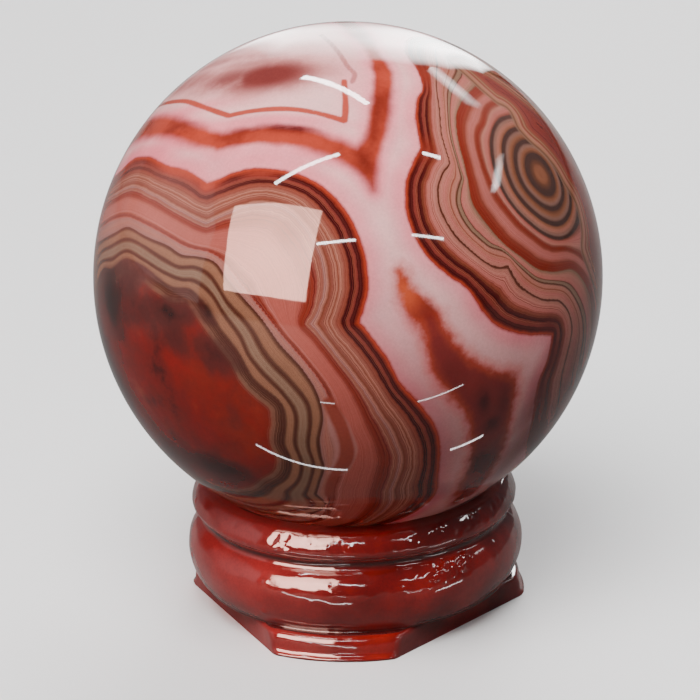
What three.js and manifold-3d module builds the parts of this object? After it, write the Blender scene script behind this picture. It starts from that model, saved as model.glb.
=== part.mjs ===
// A polished agate ball on its turned and lacquered wooden stand. Millimetres, +Z up.
// The origin is the centre of the stand's foot, on the surface it stands on, and -Y is the front.
import * as THREE from "three";
import { mergeVertices } from "three/addons/utils/BufferGeometryUtils.js";
import Module from "manifold-3d";

// The ball, and how high it sits.
const ballRadius = 25;
const ballCentreHeight = 33.8;
const restGap = 0.3; // between the ball and the bowl it lies in
const ballSegments = 60;
const ballRings = 36;

// The stand is one turned piece. From the table up it has a foot, a fat round body and a collar with a
// narrow crown, and a groove between each two. A bend is the point that a curve leans towards.
const turnSegments = 64;
const footBevel = 0.25;
const footRim = { radius: 17.1, height: footBevel };
const footRimBend = { radius: 16.95, height: 1.2 };
const footEdge = { radius: 15.95, height: 2.25 };
const footTop = { radius: 15.6, height: 2.37 };
const lowerGroove = { radius: 14.9, height: 2.42 };
const bodyOval = { centreRadius: 14.06, height: 6.2, bulge: 2.73, above: 3.25, below: 4 };
const upperGroove = { radius: 14.5, height: 9.55 };
const collarOval = { centreRadius: 13.96, height: 11.3, bulge: 2.32, above: 1.35, below: 1.35 };
const collarSide = { radius: collarOval.centreRadius + collarOval.bulge, height: collarOval.height };
const collarBend = { radius: collarSide.radius, height: 12.1 };
const collarShoulder = { radius: 15.5, height: 12.65 };
const crownBend = { radius: 15.3, height: 13 };
const crown = { radius: 14.85, height: 13 };
const bowlMouthRadius = 14.35;

// Three sides of the foot are cut off flat, which leaves it standing on three rounded toes. Each cut faces
// this many degrees from the front, towards +X.
const footCutDirections = [-64.5, 47.5, 171.5];
const footCutDistance = 13.75; // from the axis

const agate = new THREE.MeshStandardMaterial({ color: 0xb0604e, roughness: 0.06, metalness: 0 });
const lacqueredWood = new THREE.MeshStandardMaterial({ color: 0x8c1a12, roughness: 0.2, metalness: 0 });

function profilePoint({ radius, height }) {
  return new THREE.Vector2(radius, height);
}

// A smooth bend of the profile between two points.
function bendPoints(from, bend, to, steps) {
  const curve = new THREE.QuadraticBezierCurve(profilePoint(from), profilePoint(bend), profilePoint(to));
  return curve.getPoints(steps);
}

// Points along an upright oval, between two angles in degrees from its widest place.
function ovalPoints({ centreRadius, height, bulge, above, below }, from, to, steps) {
  return Array.from({ length: steps + 1 }, (_, i) => {
    const angle = THREE.MathUtils.degToRad(from + ((to - from) * i) / steps);
    const halfHeight = angle > 0 ? above : below;
    return new THREE.Vector2(centreRadius + bulge * Math.cos(angle), height + halfHeight * Math.sin(angle));
  });
}

// The foot in section: flat below, with a small bevel, a rim that slopes in and a narrow top.
function footProfile() {
  return [
    profilePoint({ radius: 0, height: 0 }),
    profilePoint({ radius: footRim.radius - footBevel, height: 0 }),
    ...bendPoints(footRim, footRimBend, footEdge, 5),
    profilePoint(footTop),
    profilePoint(lowerGroove),
  ];
}

// The fat round body, from the lower groove to the upper one.
function bodyProfile() {
  return [...ovalPoints(bodyOval, -68, 79, 12), profilePoint(upperGroove)];
}

// The collar: round below, then a leaning face that turns in to the crown.
function collarProfile() {
  return [
    ...ovalPoints(collarOval, -72, -12, 4),
    ...bendPoints(collarSide, collarBend, collarShoulder, 4),
    ...bendPoints(collarShoulder, crownBend, crown, 3).slice(1),
  ];
}

// The bowl that the ball lies in, from its mouth to the axis.
function bowlProfile() {
  const bowlRadius = ballRadius + restGap;
  const mouth = Math.asin(bowlMouthRadius / bowlRadius);
  const steps = 7;
  return Array.from({ length: steps + 1 }, (_, i) => {
    const angle = mouth * (1 - i / steps);
    return new THREE.Vector2(
      i === steps ? 0 : bowlRadius * Math.sin(angle),
      ballCentreHeight - bowlRadius * Math.cos(angle),
    );
  });
}

// A closed geometry as a solid that can be cut.
function solidOf(wasm, geometry) {
  geometry.deleteAttribute("normal");
  geometry.deleteAttribute("uv");
  const merged = mergeVertices(geometry, 1e-4);
  return new wasm.Manifold(
    new wasm.Mesh({
      numProp: 3,
      vertProperties: merged.attributes.position.array,
      triVerts: new Uint32Array(merged.index.array),
    }),
  );
}

function geometryOf(solid) {
  const mesh = solid.getMesh();
  const geometry = new THREE.BufferGeometry();
  geometry.setAttribute("position", new THREE.BufferAttribute(new Float32Array(mesh.vertProperties), 3));
  geometry.setIndex(new THREE.BufferAttribute(new Uint32Array(mesh.triVerts), 1));
  geometry.computeVertexNormals();
  return geometry;
}

// What one cut takes off the foot: a block that reaches from below it to just above the lower groove.
function cutterGeometry(degrees) {
  const top = lowerGroove.height + 0.03;
  const below = 1;
  return new THREE.BoxGeometry(2 * footRim.radius, footRim.radius, top + below)
    .translate(0, -footCutDistance - footRim.radius / 2, (top - below) / 2)
    .rotateZ(THREE.MathUtils.degToRad(degrees));
}

// The profile is turned about Y, so the lathe's solid is stood up along Z.
function standGeometry(wasm) {
  const profile = [...footProfile(), ...bodyProfile(), ...collarProfile(), ...bowlProfile()];
  const turned = new THREE.LatheGeometry(profile, turnSegments).rotateX(Math.PI / 2);
  const cut = footCutDirections.reduce(
    (solid, degrees) => solid.subtract(solidOf(wasm, cutterGeometry(degrees))),
    solidOf(wasm, turned),
  );
  return geometryOf(cut);
}

function makeBall() {
  const ball = new THREE.Mesh(new THREE.SphereGeometry(ballRadius, ballSegments, ballRings), agate);
  ball.name = "agate_ball";
  ball.rotation.x = Math.PI / 2;
  ball.position.z = ballCentreHeight;
  return ball;
}

function makeStand(wasm) {
  const stand = new THREE.Mesh(standGeometry(wasm), lacqueredWood);
  stand.name = "wooden_stand";
  return stand;
}

const wasm = await Module();
wasm.setup();

const agateSphere = new THREE.Group();
agateSphere.add(makeBall(), makeStand(wasm));

export default agateSphere;
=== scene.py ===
"""A polished ball of banded agate that rests on a turned and lacquered wooden stand."""
import logging
import math
from dataclasses import dataclass
from enum import Enum
from functools import partial, reduce
from typing import Any

import bpy
import numpy as np
from mathutils import Matrix, Vector, noise


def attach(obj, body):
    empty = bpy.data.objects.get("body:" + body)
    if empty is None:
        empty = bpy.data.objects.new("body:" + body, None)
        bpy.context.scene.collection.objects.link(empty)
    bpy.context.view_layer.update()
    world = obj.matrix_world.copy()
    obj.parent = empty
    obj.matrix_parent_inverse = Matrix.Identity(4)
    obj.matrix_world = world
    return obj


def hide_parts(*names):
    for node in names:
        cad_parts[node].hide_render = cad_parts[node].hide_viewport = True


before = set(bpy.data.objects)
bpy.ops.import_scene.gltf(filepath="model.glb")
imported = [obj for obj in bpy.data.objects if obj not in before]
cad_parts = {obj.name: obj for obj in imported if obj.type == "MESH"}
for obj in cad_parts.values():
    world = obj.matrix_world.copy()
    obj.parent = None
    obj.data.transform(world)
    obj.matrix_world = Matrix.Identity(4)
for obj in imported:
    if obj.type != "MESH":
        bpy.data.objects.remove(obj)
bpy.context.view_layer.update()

log = logging.getLogger("agate_sphere")

MM = 0.001
Pair = tuple[float, float]
Angles = tuple[Pair, ...]
Glow = tuple[tuple[float, float, float], ...]
Colour = tuple[float, float, float]
Stops = tuple[tuple[float, Colour], ...]

BALL_RADIUS = 25.0
BALL_HEIGHT = 33.8
PATTERN_TILT = math.radians(19.34)
TINY = 1e-9
PLACES_AT_ONCE = 16384


class Finish(Enum):
    """The material slots of the record."""

    STONE = "agate"
    LACQUER = "lacquered_wood"


def directions(angles: Angles) -> np.ndarray:
    """Unit vectors of places on the ball.

    The pattern's own angles are used: longitude grows to the right and latitude upwards, and (0, 0) is the
    place that faces the viewer, a little above the ball's equator.

    Args:
        angles: Longitude and latitude pairs in degrees.

    Returns:
        One unit vector per row.
    """
    lon, lat = np.radians(np.asarray(angles, dtype=float)).T
    right = np.array([1.0, 0.0, 0.0])
    front = np.array([0.0, -math.cos(PATTERN_TILT), math.sin(PATTERN_TILT)])
    up = np.array([0.0, math.sin(PATTERN_TILT), math.cos(PATTERN_TILT)])
    return (
        (np.cos(lat) * np.sin(lon))[:, None] * right
        + (np.cos(lat) * np.cos(lon))[:, None] * front
        + np.sin(lat)[:, None] * up
    )


def angles_of(places: np.ndarray) -> tuple[np.ndarray, np.ndarray]:
    """Longitude and latitude of places on the ball, in the pattern's own degrees.

    Args:
        places: Unit vectors, one per row.

    Returns:
        The longitudes and the latitudes.
    """
    right, front, up = directions(((90.0, 0.0), (0.0, 0.0), (0.0, 90.0)))
    lon = np.degrees(np.arctan2(places @ right, places @ front))
    return lon, np.degrees(np.arcsin(np.clip(places @ up, -1, 1)))


def about(centre: Pair, places: np.ndarray) -> tuple[np.ndarray, np.ndarray]:
    """Where places lie as seen from a centre on the ball.

    Args:
        centre: Its longitude and latitude.
        places: Unit vectors, one per row.

    Returns:
        How far they are from it in degrees, and in which direction, in radians from its right.
    """
    middle, up = directions((centre, (centre[0], centre[1] + 90.0)))
    away = np.degrees(np.arccos(np.clip(places @ middle, -1, 1)))
    return away, np.arctan2(places @ up, places @ np.cross(up, middle))


@dataclass(frozen=True)
class Photograph:
    """The camera that took the photograph, in metres and degrees."""

    place: tuple[float, float, float] = (0.0, -0.33675, 0.152)
    pitch: float = 20.5  # below level
    roll: float = -1.57
    lens: float = 186.7  # millimetres, as is the sensor
    sensor: float = 36.0
    pixels: int = 700
    middle: Pair = (351.4, 350.0)  # the pixel that it looks at

    def turn(self) -> Matrix:
        """How the camera is turned."""
        level = Matrix.Rotation(math.radians(90 - self.pitch), 4, "X")
        return level @ Matrix.Rotation(math.radians(self.roll), 4, "Z")

    def shown(self, marks: Angles) -> Angles:
        """The places of the ball that some pixels show.

        Args:
            marks: The pixels' distances from the photograph's left and upper edge.

        Returns:
            Longitude and latitude of each, in the pattern's own degrees.
        """
        scale = self.lens / self.sensor * self.pixels
        inward = Vector((0, 0, BALL_HEIGHT * MM)) - Vector(self.place)
        places = []
        for x, y in marks:
            way = Vector((x - self.middle[0], self.middle[1] - y, -scale)).normalized()
            way = self.turn().to_3x3() @ way
            reach = inward.dot(way)
            near = reach - math.sqrt(reach**2 - inward.length_squared + (BALL_RADIUS * MM) ** 2)
            places.append((way * near - inward) / (BALL_RADIUS * MM))
        return tuple(zip(*(values.tolist() for values in angles_of(np.array(places)))))


PHOTOGRAPH = Photograph()


def blend(start: Any, end: Any, low: float, high: float, at: Any) -> Any:
    """The straight blend of two values between two knots.

    Args:
        start: The value at the low knot.
        end: The value at the high knot.
        low: The first knot.
        high: The second knot.
        at: Where between the knots the blend is wanted.

    Returns:
        The blend.
    """
    return (start * (high - at) + end * (at - low)) / (high - low)


def smooth_run(points: np.ndarray, step: float, looped: bool = False) -> np.ndarray:
    """A smooth curve through points on the unit sphere.

    Args:
        points: At least two unit vectors, in order.
        step: Wanted spacing of the curve's points, in radians.
        looped: Whether the last point leads on smoothly to the first.

    Returns:
        Unit vectors along the curve, without its last point.
    """
    if looped:
        padded = np.vstack([points[-1:], points, points[:2]])
    else:
        padded = np.vstack([2 * points[0] - points[1], points, 2 * points[-1] - points[-2]])
    parts = []
    for i in range(1, len(padded) - 2):
        a, b, c, d = padded[i - 1 : i + 3]
        gaps = [math.sqrt(np.linalg.norm(gap)) + 1e-6 for gap in (b - a, c - b, d - c)]
        k = np.cumsum([0.0] + gaps)
        count = max(2, math.ceil(np.linalg.norm(c - b) / step))
        t = np.linspace(k[1], k[2], count, endpoint=False)[:, None]
        first = blend(a, b, k[0], k[1], t)
        second = blend(b, c, k[1], k[2], t)
        third = blend(c, d, k[2], k[3], t)
        left = blend(first, second, k[0], k[2], t)
        right = blend(second, third, k[1], k[3], t)
        parts.append(blend(left, right, k[1], k[2], t))
    curve = np.vstack(parts)
    return curve / np.linalg.norm(curve, axis=1, keepdims=True)


@dataclass(frozen=True)
class Trace:
    """A line on the ball, smooth through its points, with a corner at each point that is given twice."""

    angles: Angles
    closed: bool = True
    within: Pair = (0.0, 0.0)  # a place on its inner side
    step: float = 0.35  # spacing of its samples, in degrees

    def samples(self) -> np.ndarray:
        """The line at a close spacing.

        Returns:
            Unit vectors along it.
        """
        points = directions(self.angles)
        step = math.radians(self.step)
        corners = self.corners(points)
        if not self.closed:
            return np.vstack([self.runs(points, corners, len(points)), points[-1:]])
        if not corners:
            return smooth_run(points, step, looped=True)
        turned = np.roll(points, -corners[0], axis=0)
        turned = np.vstack([turned, turned[:1]])
        return self.runs(turned, self.corners(turned[:-1]), len(turned) - 1)

    def corners(self, points: np.ndarray) -> list[int]:
        """The numbers of the points that are the same as the one before."""
        return [i + 1 for i in range(len(points) - 1) if np.allclose(points[i], points[i + 1])]

    def runs(self, points: np.ndarray, corners: list[int], count: int) -> np.ndarray:
        """The smooth runs between the corners.

        Args:
            points: Unit vectors along the line.
            corners: Where a new run starts.
            count: How many of the points are used.

        Returns:
            Closely spaced unit vectors along all the runs.
        """
        cuts = [0] + corners + [count]
        step = math.radians(self.step)
        return np.vstack([smooth_run(points[a:b], step) for a, b in zip(cuts, cuts[1:])])

    def distance(self, places: np.ndarray) -> np.ndarray:
        """How far places are from the line.

        Args:
            places: Unit vectors, one per row.

        Returns:
            Distances in degrees. With a closed line they are positive on the side where the place within
            lies, and negative on the other side.
        """
        places = np.vstack([places, directions((self.within,))])
        line = self.samples()
        following = np.roll(line, -1, axis=0)
        if not self.closed:
            following[-1] = line[-1]
        across = np.cross(line, following)
        lengths = np.linalg.norm(across, axis=1, keepdims=True)
        across = across / np.maximum(lengths, TINY)
        result = np.empty(len(places))
        for start in range(0, len(places), PLACES_AT_ONCE):
            some = slice(start, start + PLACES_AT_ONCE)
            result[some] = self.signed_gap(places[some], line, following, across)
        return result[:-1] * (np.sign(result[-1]) if self.closed else 1)

    def signed_gap(self, places: np.ndarray, line: np.ndarray, following: np.ndarray,
                   across: np.ndarray) -> np.ndarray:
        """How far places are from the stretches next to their nearest sample.

        Args:
            places: Unit vectors, one per row.
            line: The line's samples.
            following: The sample after each.
            across: The direction across each stretch.

        Returns:
            Distances in degrees, with a sign that tells the two sides of a closed line apart.
        """
        nearest = np.argmax(places.astype(np.float32) @ line.T.astype(np.float32), axis=1)
        corner = across[(nearest - 1) % len(line)] + across[nearest]
        best = np.full(len(places), np.inf)
        side = np.ones(len(places))
        for offset in (-1, 0):
            index = (nearest + offset) % len(line) if self.closed else np.maximum(nearest + offset, 0)
            start, chord = line[index], following[index] - line[index]
            length = np.maximum(np.einsum("ij,ij->i", chord, chord), 1e-12)
            share = np.einsum("ij,ij->i", places - start, chord) / length
            clipped = np.clip(share, 0, 1)
            gap = np.linalg.norm(places - (start + clipped[:, None] * chord), axis=1)
            facing = np.where((share < 0)[:, None] | (share > 1)[:, None], corner, across[index])
            closer = gap < best
            best = np.where(closer, gap, best)
            side = np.where(closer, -np.sign(np.einsum("ij,ij->i", places, facing)), side)
        return np.degrees(best) * (side if self.closed else 1)


@dataclass(frozen=True)
class Cloud:
    """A soft oval patch on the ball: its place, its half sizes and its turn, all in degrees."""

    lon: float
    lat: float
    wide: float
    high: float
    turn: float = 0.0
    weight: float = 1.0

    def amount(self, places: np.ndarray) -> np.ndarray:
        """How strong the patch is.

        Args:
            places: Unit vectors, one per row.

        Returns:
            A value for each place, from 0 to the patch's weight.
        """
        centre = directions(((self.lon, self.lat),))[0]
        up = directions(((self.lon, self.lat + 90.0),))[0]
        right = np.cross(up, centre)
        angle = math.radians(self.turn)
        x = np.degrees(places @ (math.cos(angle) * right + math.sin(angle) * up))
        y = np.degrees(places @ (math.cos(angle) * up - math.sin(angle) * right))
        facing = places @ centre > 0
        return np.where(facing, self.weight * np.exp(-((x / self.wide) ** 2) - (y / self.high) ** 2), 0.0)


def clouds(parts: tuple[Cloud, ...], places: np.ndarray) -> np.ndarray:
    """The strongest of several soft patches.

    Args:
        parts: The patches.
        places: Unit vectors, one per row.

    Returns:
        A value for each place.
    """
    return np.max([part.amount(places) for part in parts], axis=0)


def nested_depth(lines: tuple[Trace, ...], places: np.ndarray, beyond: float) -> np.ndarray:
    """How deep places lie in a set of lines that lie one inside the other.

    Args:
        lines: Closed lines, the outermost first.
        places: Unit vectors, one per row.
        beyond: Degrees that count as one step outside the first line and inside the last.

    Returns:
        0 on the first line, 1 on the second and so on, growing evenly between, and below 0 outside.
    """
    inside = [line.distance(places) for line in lines]
    depth = inside[0] / beyond
    for k, (outer, inner) in enumerate(zip(inside, inside[1:])):
        outer = np.maximum(outer, 1e-6) if k else outer
        between = outer > 0 if k == 0 else depth >= k - 1e-4
        share = np.maximum(outer, 0) / np.maximum(np.maximum(outer, 0) - np.minimum(inner, 0), 1e-6)
        depth = np.where(between, k + np.clip(share, 0, 1), depth)
    last = len(lines) - 1
    return np.where((depth >= last - 1e-4) & (inside[-1] > 0), last + inside[-1] / beyond, depth)


LEFT = (-45.0, -25.0)
RIGHT = (70.0, 15.0)
BACK = (183.0, -2.0)

# The left growth, from its border inwards: the border, a pale pair of bands, a thin red line, and four dark
# lines round the red core. The places behind the limb are made up.
LEFT_LINES = (
    Trace((
        (-75, 25), (-65, 28.3), (-57, 28.1), (-47, 25.4), (-40, 24), (-36, 22.2), (-33.5, 20.8),
        (-33.5, 20.8), (-30, 21.8), (-26, 23.3), (-20, 23.9), (-13, 22.8), (-6, 19.8), (-1, 15), (2, 9.5),
        (3.8, 3), (3.8, -3), (2.3, -8.5), (1.8, -9.8), (1.8, -9.8), (3, -11), (7, -16.5), (12, -24.5),
        (16.7, -29), (22.2, -35), (25.8, -41.7), (28.9, -48.9), (34.4, -57.2), (32, -68), (-10, -81),
        (-100, -72), (-125, -45), (-128, -15), (-118, 8), (-100, 19), (-85, 23),
    ), within=LEFT),
    Trace((
        (-70, 19.5), (-60, 21), (-50, 18.8), (-40, 15), (-35, 12.9), (-32, 11.8), (-32, 11.8), (-27, 14),
        (-20, 15.8), (-14, 14.7), (-9, 10), (-6, 4), (-5.2, -2), (-7.2, -7.6), (-9, -9.8), (-9, -9.8),
        (-7.2, -11.5), (-2, -18.5), (4, -27), (11.1, -38.3), (13.4, -45), (12.8, -54.4), (14.7, -59.4),
        (0, -74), (-95, -66), (-118, -42), (-121, -15), (-113, 2), (-100, 12.5), (-85, 17),
    ), within=LEFT),
    Trace((
        (-75, 13), (-60, 14.7), (-50, 12.6), (-42, 9.6), (-36, 7.2), (-31, 6.1), (-27, 3.8), (-23, -1),
        (-19.4, -5.8), (-15.3, -11.1), (-10.6, -17.2), (-7.4, -21.7), (-5.3, -26), (-4.8, -31), (-5, -35),
        (-3.9, -39.5), (-4.6, -43.5), (-6.3, -48), (-8.5, -52), (-11, -58), (-25, -69), (-85, -62),
        (-111, -40), (-113, -15), (-106, -3), (-96, 6), (-84, 11),
    ), within=LEFT),
    Trace((
        (-71.7, 9.4), (-65, 10.4), (-57.8, 11.9), (-50, 9.6), (-42.5, 7.5), (-38, 5.4), (-33.9, 5),
        (-29.5, 3.8), (-26.5, 0), (-21.7, -5.3), (-18.6, -9), (-15.6, -13.9), (-11.1, -19.4), (-8.3, -25),
        (-7.4, -31), (-9.3, -37.2), (-9.6, -42), (-9.2, -45), (-11.7, -50.3), (-14.7, -55), (-14.7, -55),
        (-12, -60), (-35, -66), (-80, -57), (-104, -38), (-106, -17), (-99, -5), (-90, 3), (-80, 8),
    ), within=LEFT),
    Trace((
        (-72.8, 6.7), (-66, 8), (-57, 9.4), (-50.6, 7.8), (-44, 4.9), (-39, 3), (-34.4, 2.8), (-30.4, 0.6),
        (-26.7, -5), (-22.2, -10), (-18.9, -16.7), (-14.4, -22.2), (-10.6, -27.8), (-10.5, -32),
        (-12.2, -39), (-11.9, -44), (-14.5, -49.6), (-18.9, -55.3), (-18.9, -55.3), (-18, -60), (-45, -63),
        (-76, -54), (-97, -37), (-99, -18), (-93, -8), (-83, 1.5),
    ), within=LEFT),
    Trace((
        (-72.8, 4.4), (-64, 5.2), (-57.2, 6.8), (-50, 4.6), (-42.5, 1.6), (-38.5, 0.4), (-34.5, -0.2),
        (-30.5, -2.9), (-27.5, -7.5), (-24.4, -12.2), (-23.2, -16.2), (-20.6, -20), (-16.5, -25),
        (-14.1, -30), (-15.8, -38), (-15.6, -44), (-18.6, -49.4), (-25.6, -53.9), (-25.6, -53.9), (-30, -58),
        (-52, -60), (-74, -51), (-91, -36), (-93, -19), (-87, -9), (-80, 0),
    ), within=LEFT),
    Trace((
        (-70, 2.8), (-63.9, 2.8), (-57.5, 4.9), (-50, 3.1), (-41, -1.5), (-36, -2), (-32.8, -5.3),
        (-29, -11), (-25.3, -16.1), (-23.2, -21.5), (-17.2, -27.8), (-17.1, -32), (-19.1, -38), (-18.8, -43),
        (-22.2, -48.3), (-30, -51.9), (-30, -51.9), (-38, -55), (-55, -56), (-73, -48), (-84, -35),
        (-86, -20), (-81, -9), (-76, -1.5),
    ), within=LEFT),
)

# The right growth: its border, a thin line, a wavy line, two orange bands and then the eye's four rings.
RIGHT_LINES = (
    Trace((
        (27.5, 58), (26.8, 50), (25, 44.3), (22, 41), (19.8, 36.5), (19, 32), (18.7, 28), (18.7, 28),
        (16, 24), (14, 20.5), (13.3, 15), (14.3, 9), (17, 4), (21.5, 0), (26, -3), (31, -9), (36, -12.2),
        (44, -13.5), (52, -13.8), (52, -13.8), (52.2, -20), (51.5, -25), (54, -31), (62, -40), (77, -46),
        (100, -44), (122, -28), (133, 0), (130, 28), (110, 50), (75, 63), (45, 66),
    ), within=RIGHT),
    Trace((
        (36, 52), (30, 45), (27.3, 38), (25.3, 31), (25.5, 24), (25.5, 24), (22.3, 20.8), (21, 16.7),
        (22, 11.5), (25, 7.2), (31.1, 2.2), (34.5, 1.2), (36.6, 1.6), (36.6, 1.6), (40, -2.8), (46.1, -5.7),
        (54, -6.6), (60, -12), (62, -24), (80, -37), (100, -36), (117, -22), (126, 0), (122, 26), (104, 44),
        (72, 57), (48, 60),
    ), within=RIGHT),
    Trace((
        (43, 50), (33, 43), (29, 36), (27.4, 30), (27.4, 23.5), (27.8, 20.6), (27.8, 20.6), (26, 17.5),
        (25.4, 14.8), (26.8, 10.8), (31.7, 6.1), (35.5, 4.8), (39.4, 1.7), (45, -1.7), (56.1, -3.5),
        (66, -11), (74, -24), (86, -30), (100, -29), (113, -17), (120, 0), (116, 24), (100, 39), (72, 52),
        (52, 56),
    ), within=RIGHT),
    Trace((
        (48, 46), (36, 40), (31.5, 36), (29.3, 30), (29, 24), (29, 19), (29.2, 15.5), (30.3, 13), (33, 9.5),
        (36, 6), (40, 3.5), (45, 0.8), (50, 0), (59, 0.4), (68, -5), (78, -17), (88, -23), (100, -22),
        (108, -12), (112, 0), (109, 22), (96, 34), (72, 47), (57, 51),
    ), within=RIGHT),
    Trace((
        (50, 40), (44, 38), (39.5, 34), (36, 31), (34.6, 27), (34.6, 22), (35.8, 17.5), (38.5, 13.3),
        (41.7, 10), (46, 7.2), (50, 5.5), (57, 5), (66, 2), (78, -8), (90, -14), (99, -11), (103, 0),
        (100, 20), (90, 29), (72, 41), (60, 45),
    ), within=RIGHT),
)
EYE = (52.5, 21.5)
EYE_RINGS = (14.3, 11.2, 8.0, 4.8)  # degrees from its middle
EYE_WAVES = ((2, 0.03, 0.6), (3, 0.016, 1.0), (5, 0.008, 0.0))  # waves round it, their height and phase

ORANGE_BAND = Trace((
    (-133, 1), (-124, 14.5), (-112, 26), (-90, 36), (-70, 38.6), (-60, 38.6), (-50, 37), (-40, 34.6),
    (-33, 32.9), (-33, 32.9), (-25, 34), (-18, 34.3), (-10, 33.1), (-3, 30.5), (3, 27.8), (3, 27.8),
    (5.5, 30.5), (7, 36), (9, 43), (10.7, 51), (9.5, 62), (2, 73), (-20, 85), (-169, 81), (173.5, 69),
    (157.5, 57), (152.5, 43), (141, 30), (133, 21.5), (133, 21.5), (138.5, 31.5), (149.5, 44.5), (153, 58.5),
    (163.5, 70), (167, 82), (20, 85), (14, 72), (14.6, 60), (16.3, 49), (13, 40), (10, 31), (7.5, 25),
    (6.2, 18.5), (6.2, 18.5), (3.5, 22.5), (-2, 26.1), (-10, 28.9), (-20, 30.1), (-27, 29.9), (-33, 28.9),
    (-33, 28.9), (-40, 30.8), (-50, 33.3), (-60, 34.2), (-90, 31), (-112, 20.5), (-122, 11), (-131, -2),
    (-135, -14), (-138, -25), (-138, -25), (-137.5, -14),
), within=(-20.0, 32.0))

THIN_LINE = Trace((
    (-128, 18), (-112, 31), (-90, 41), (-65, 43.6), (-55, 43.2), (-45, 41.1), (-38, 39.3), (-33, 37.9),
    (-33, 37.9), (-25, 39), (-15, 39), (-8, 37.8), (0.2, 35.2), (0.2, 35.2), (0.6, 39), (0.5, 47),
), closed=False)
RED_HAIR = Trace(((-12, 68), (-1, 57.5), (2, 52), (4, 49.3), (3, 46.5)), closed=False)

# Pixels of the photograph on the flame's edges, from its tip down its right side, and up its left side.
FLAME_RIGHT_PIXELS = (
    (401, 272), (406, 284), (416, 295), (436, 311), (453, 341), (471, 359), (495, 372), (516, 377),
    (516, 377), (514, 405), (507, 432), (498, 461),
)
FLAME_LEFT_PIXELS = (
    (469, 468), (474, 445), (471, 423), (455, 395), (439, 377), (429, 352), (423, 325), (412, 311),
    (404, 295), (401, 272),
)
FLAME = Trace(
    PHOTOGRAPH.shown(FLAME_RIGHT_PIXELS) + ((58, -58), (58, -62), (48, -58))
    + PHOTOGRAPH.shown(FLAME_LEFT_PIXELS),
    within=(30.0, -25.0),
)

LENS = Trace((
    (-4.7, -29.5), (-5.1, -34), (-3.9, -39.5), (-4.6, -43.5), (-6.3, -47.4), (-3.6, -47), (-1.2, -44),
    (0.2, -40), (-0.8, -36.5), (-2.4, -32.2),
), within=(-2.5, -40.0))
# Pixels of the photograph down the outer edge of the lens's orange rim, and up its inner edge.
LENS_RIM_PIXELS = (
    (332, 398), (339, 408), (346, 420), (351, 434), (355, 450), (353, 462), (346, 471), (338, 478),
    (334, 488), (331, 497), (328, 496), (327, 488), (330, 479), (335, 469), (341, 458), (342, 446),
    (338, 431), (333, 420), (329, 411), (326, 400),
)
LENS_RIM = Trace(PHOTOGRAPH.shown(LENS_RIM_PIXELS), within=(-1.5, -40.0))

TANGLE = Trace((
    (44, 56), (45.5, 45), (49, 39.5), (52, 38), (51, 33), (53.5, 29), (56.5, 26.5), (60, 22.5), (61.5, 19),
    (64.5, 14.5), (64.5, 9), (63, 4.5), (70, -4), (84, -12), (98, -11), (102, 2), (99, 20), (90, 29),
    (72, 42), (62, 52), (52, 57),
), within=(75.0, 15.0))

# Where the border's dark bands give way to plain orange, and the darker places inside the growths.
ORANGE_BORDER = (
    Cloud(-45, 22.5, 12, 5, -12), Cloud(-33.5, 19.5, 4, 3), Cloud(-20, 22.4, 4, 1.2, 0, 0.8),
    Cloud(19.5, 27.5, 3, 3, 0, 0.7), Cloud(-66, 26, 8, 3, 0, 0.5), Cloud(28.5, 49, 4, 6, 0, 0.95),
)
DARK_CLOUDS = (
    Cloud(-65, -3, 10.5, 8, 6), Cloud(-53, -6, 7, 4, -14, 0.75), Cloud(-43, -6, 8, 4, -14, 0.8),
    Cloud(-31.3, -6.5, 2.6, 3.5, 20, 0.9),
    Cloud(-41.5, -13, 4, 5, 0, 0.7), Cloud(-31.5, -16, 7, 4.5, -35, 0.8), Cloud(-48, -46, 10, 5, -18, 0.9),
    Cloud(-80, -20, 9, 24), Cloud(-58, -27, 5, 2, 0, 0.4), Cloud(-30, -30, 3, 7, 20, 0.35),
    Cloud(-70, -42, 10, 6, -20, 0.7),
)
PURPLE_CLOUDS = (
    Cloud(-52, 1.5, 12, 6, -12), Cloud(-40, -4, 6, 4, 0, 0.8), Cloud(-50, -7, 9, 4, 0, 0.7),
    Cloud(-58, 8, 5, 3, 0, 0.35),
)
# Mauve patches on the white, most of them on the lower front: partly the stone's own tint, partly painted
# shade on the ball's lower part.
MAUVE_AND_LOW_SHADE = (
    Cloud(48.6, -24, 3.5, 8, 0, 0.55), Cloud(50, -34, 4, 10, 12, 0.7), Cloud(56, -46, 6, 11, 20, 0.8),
    Cloud(-8, -52, 12, 8, 0, 0.4), Cloud(30, -56, 20, 8, 0, 0.75), Cloud(6, -58, 12, 7, 0, 0.4),
    Cloud(18, -36, 44, 30, 0, 0.75), Cloud(13, -19, 7, 9, 25, 0.5), Cloud(38, -18, 12, 5, 0, 0.5),
)
# Painted shade: soft patches that darken the ball's lower right, over the growth, the flame and the white
# alike.
LOWER_RIGHT_SHADE = (
    Cloud(54.5, -19, 3.2, 5, 0, 0.9), Cloud(54, -30, 4, 10, 8), Cloud(60, -40, 6, 14, 16),
    Cloud(68, -28, 7, 16, 8, 0.8), Cloud(72, -5, 6, 20, 0, 0.55), Cloud(51, -11.5, 4, 2, 0, 0.6),
)
AMBER = (
    Cloud(12.3, -3.6, 3, 4.5, 20), Cloud(-27, -33, 8, 14, -10), Cloud(-36, -20, 6, 8, -30, 0.5),
    Cloud(-58, -30, 10, 6, 0, 0.3),
)
MILKY = (
    Cloud(-58, 15, 22, 12), Cloud(-80, 20, 14, 24, 0, 0.8), Cloud(50, 42, 14, 9, 0, 0.5),
)
SMEARS = (
    Cloud(-26, 50, 14, 6.5, 8), Cloud(-40, 49.5, 14, 6, 6, 0.75), Cloud(-34, 55, 20, 4, 0, 0.5),
    Cloud(-62, 50, 18, 5, 8, 0.55), Cloud(-48, 58, 22, 3, 6, 0.45),
)
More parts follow.
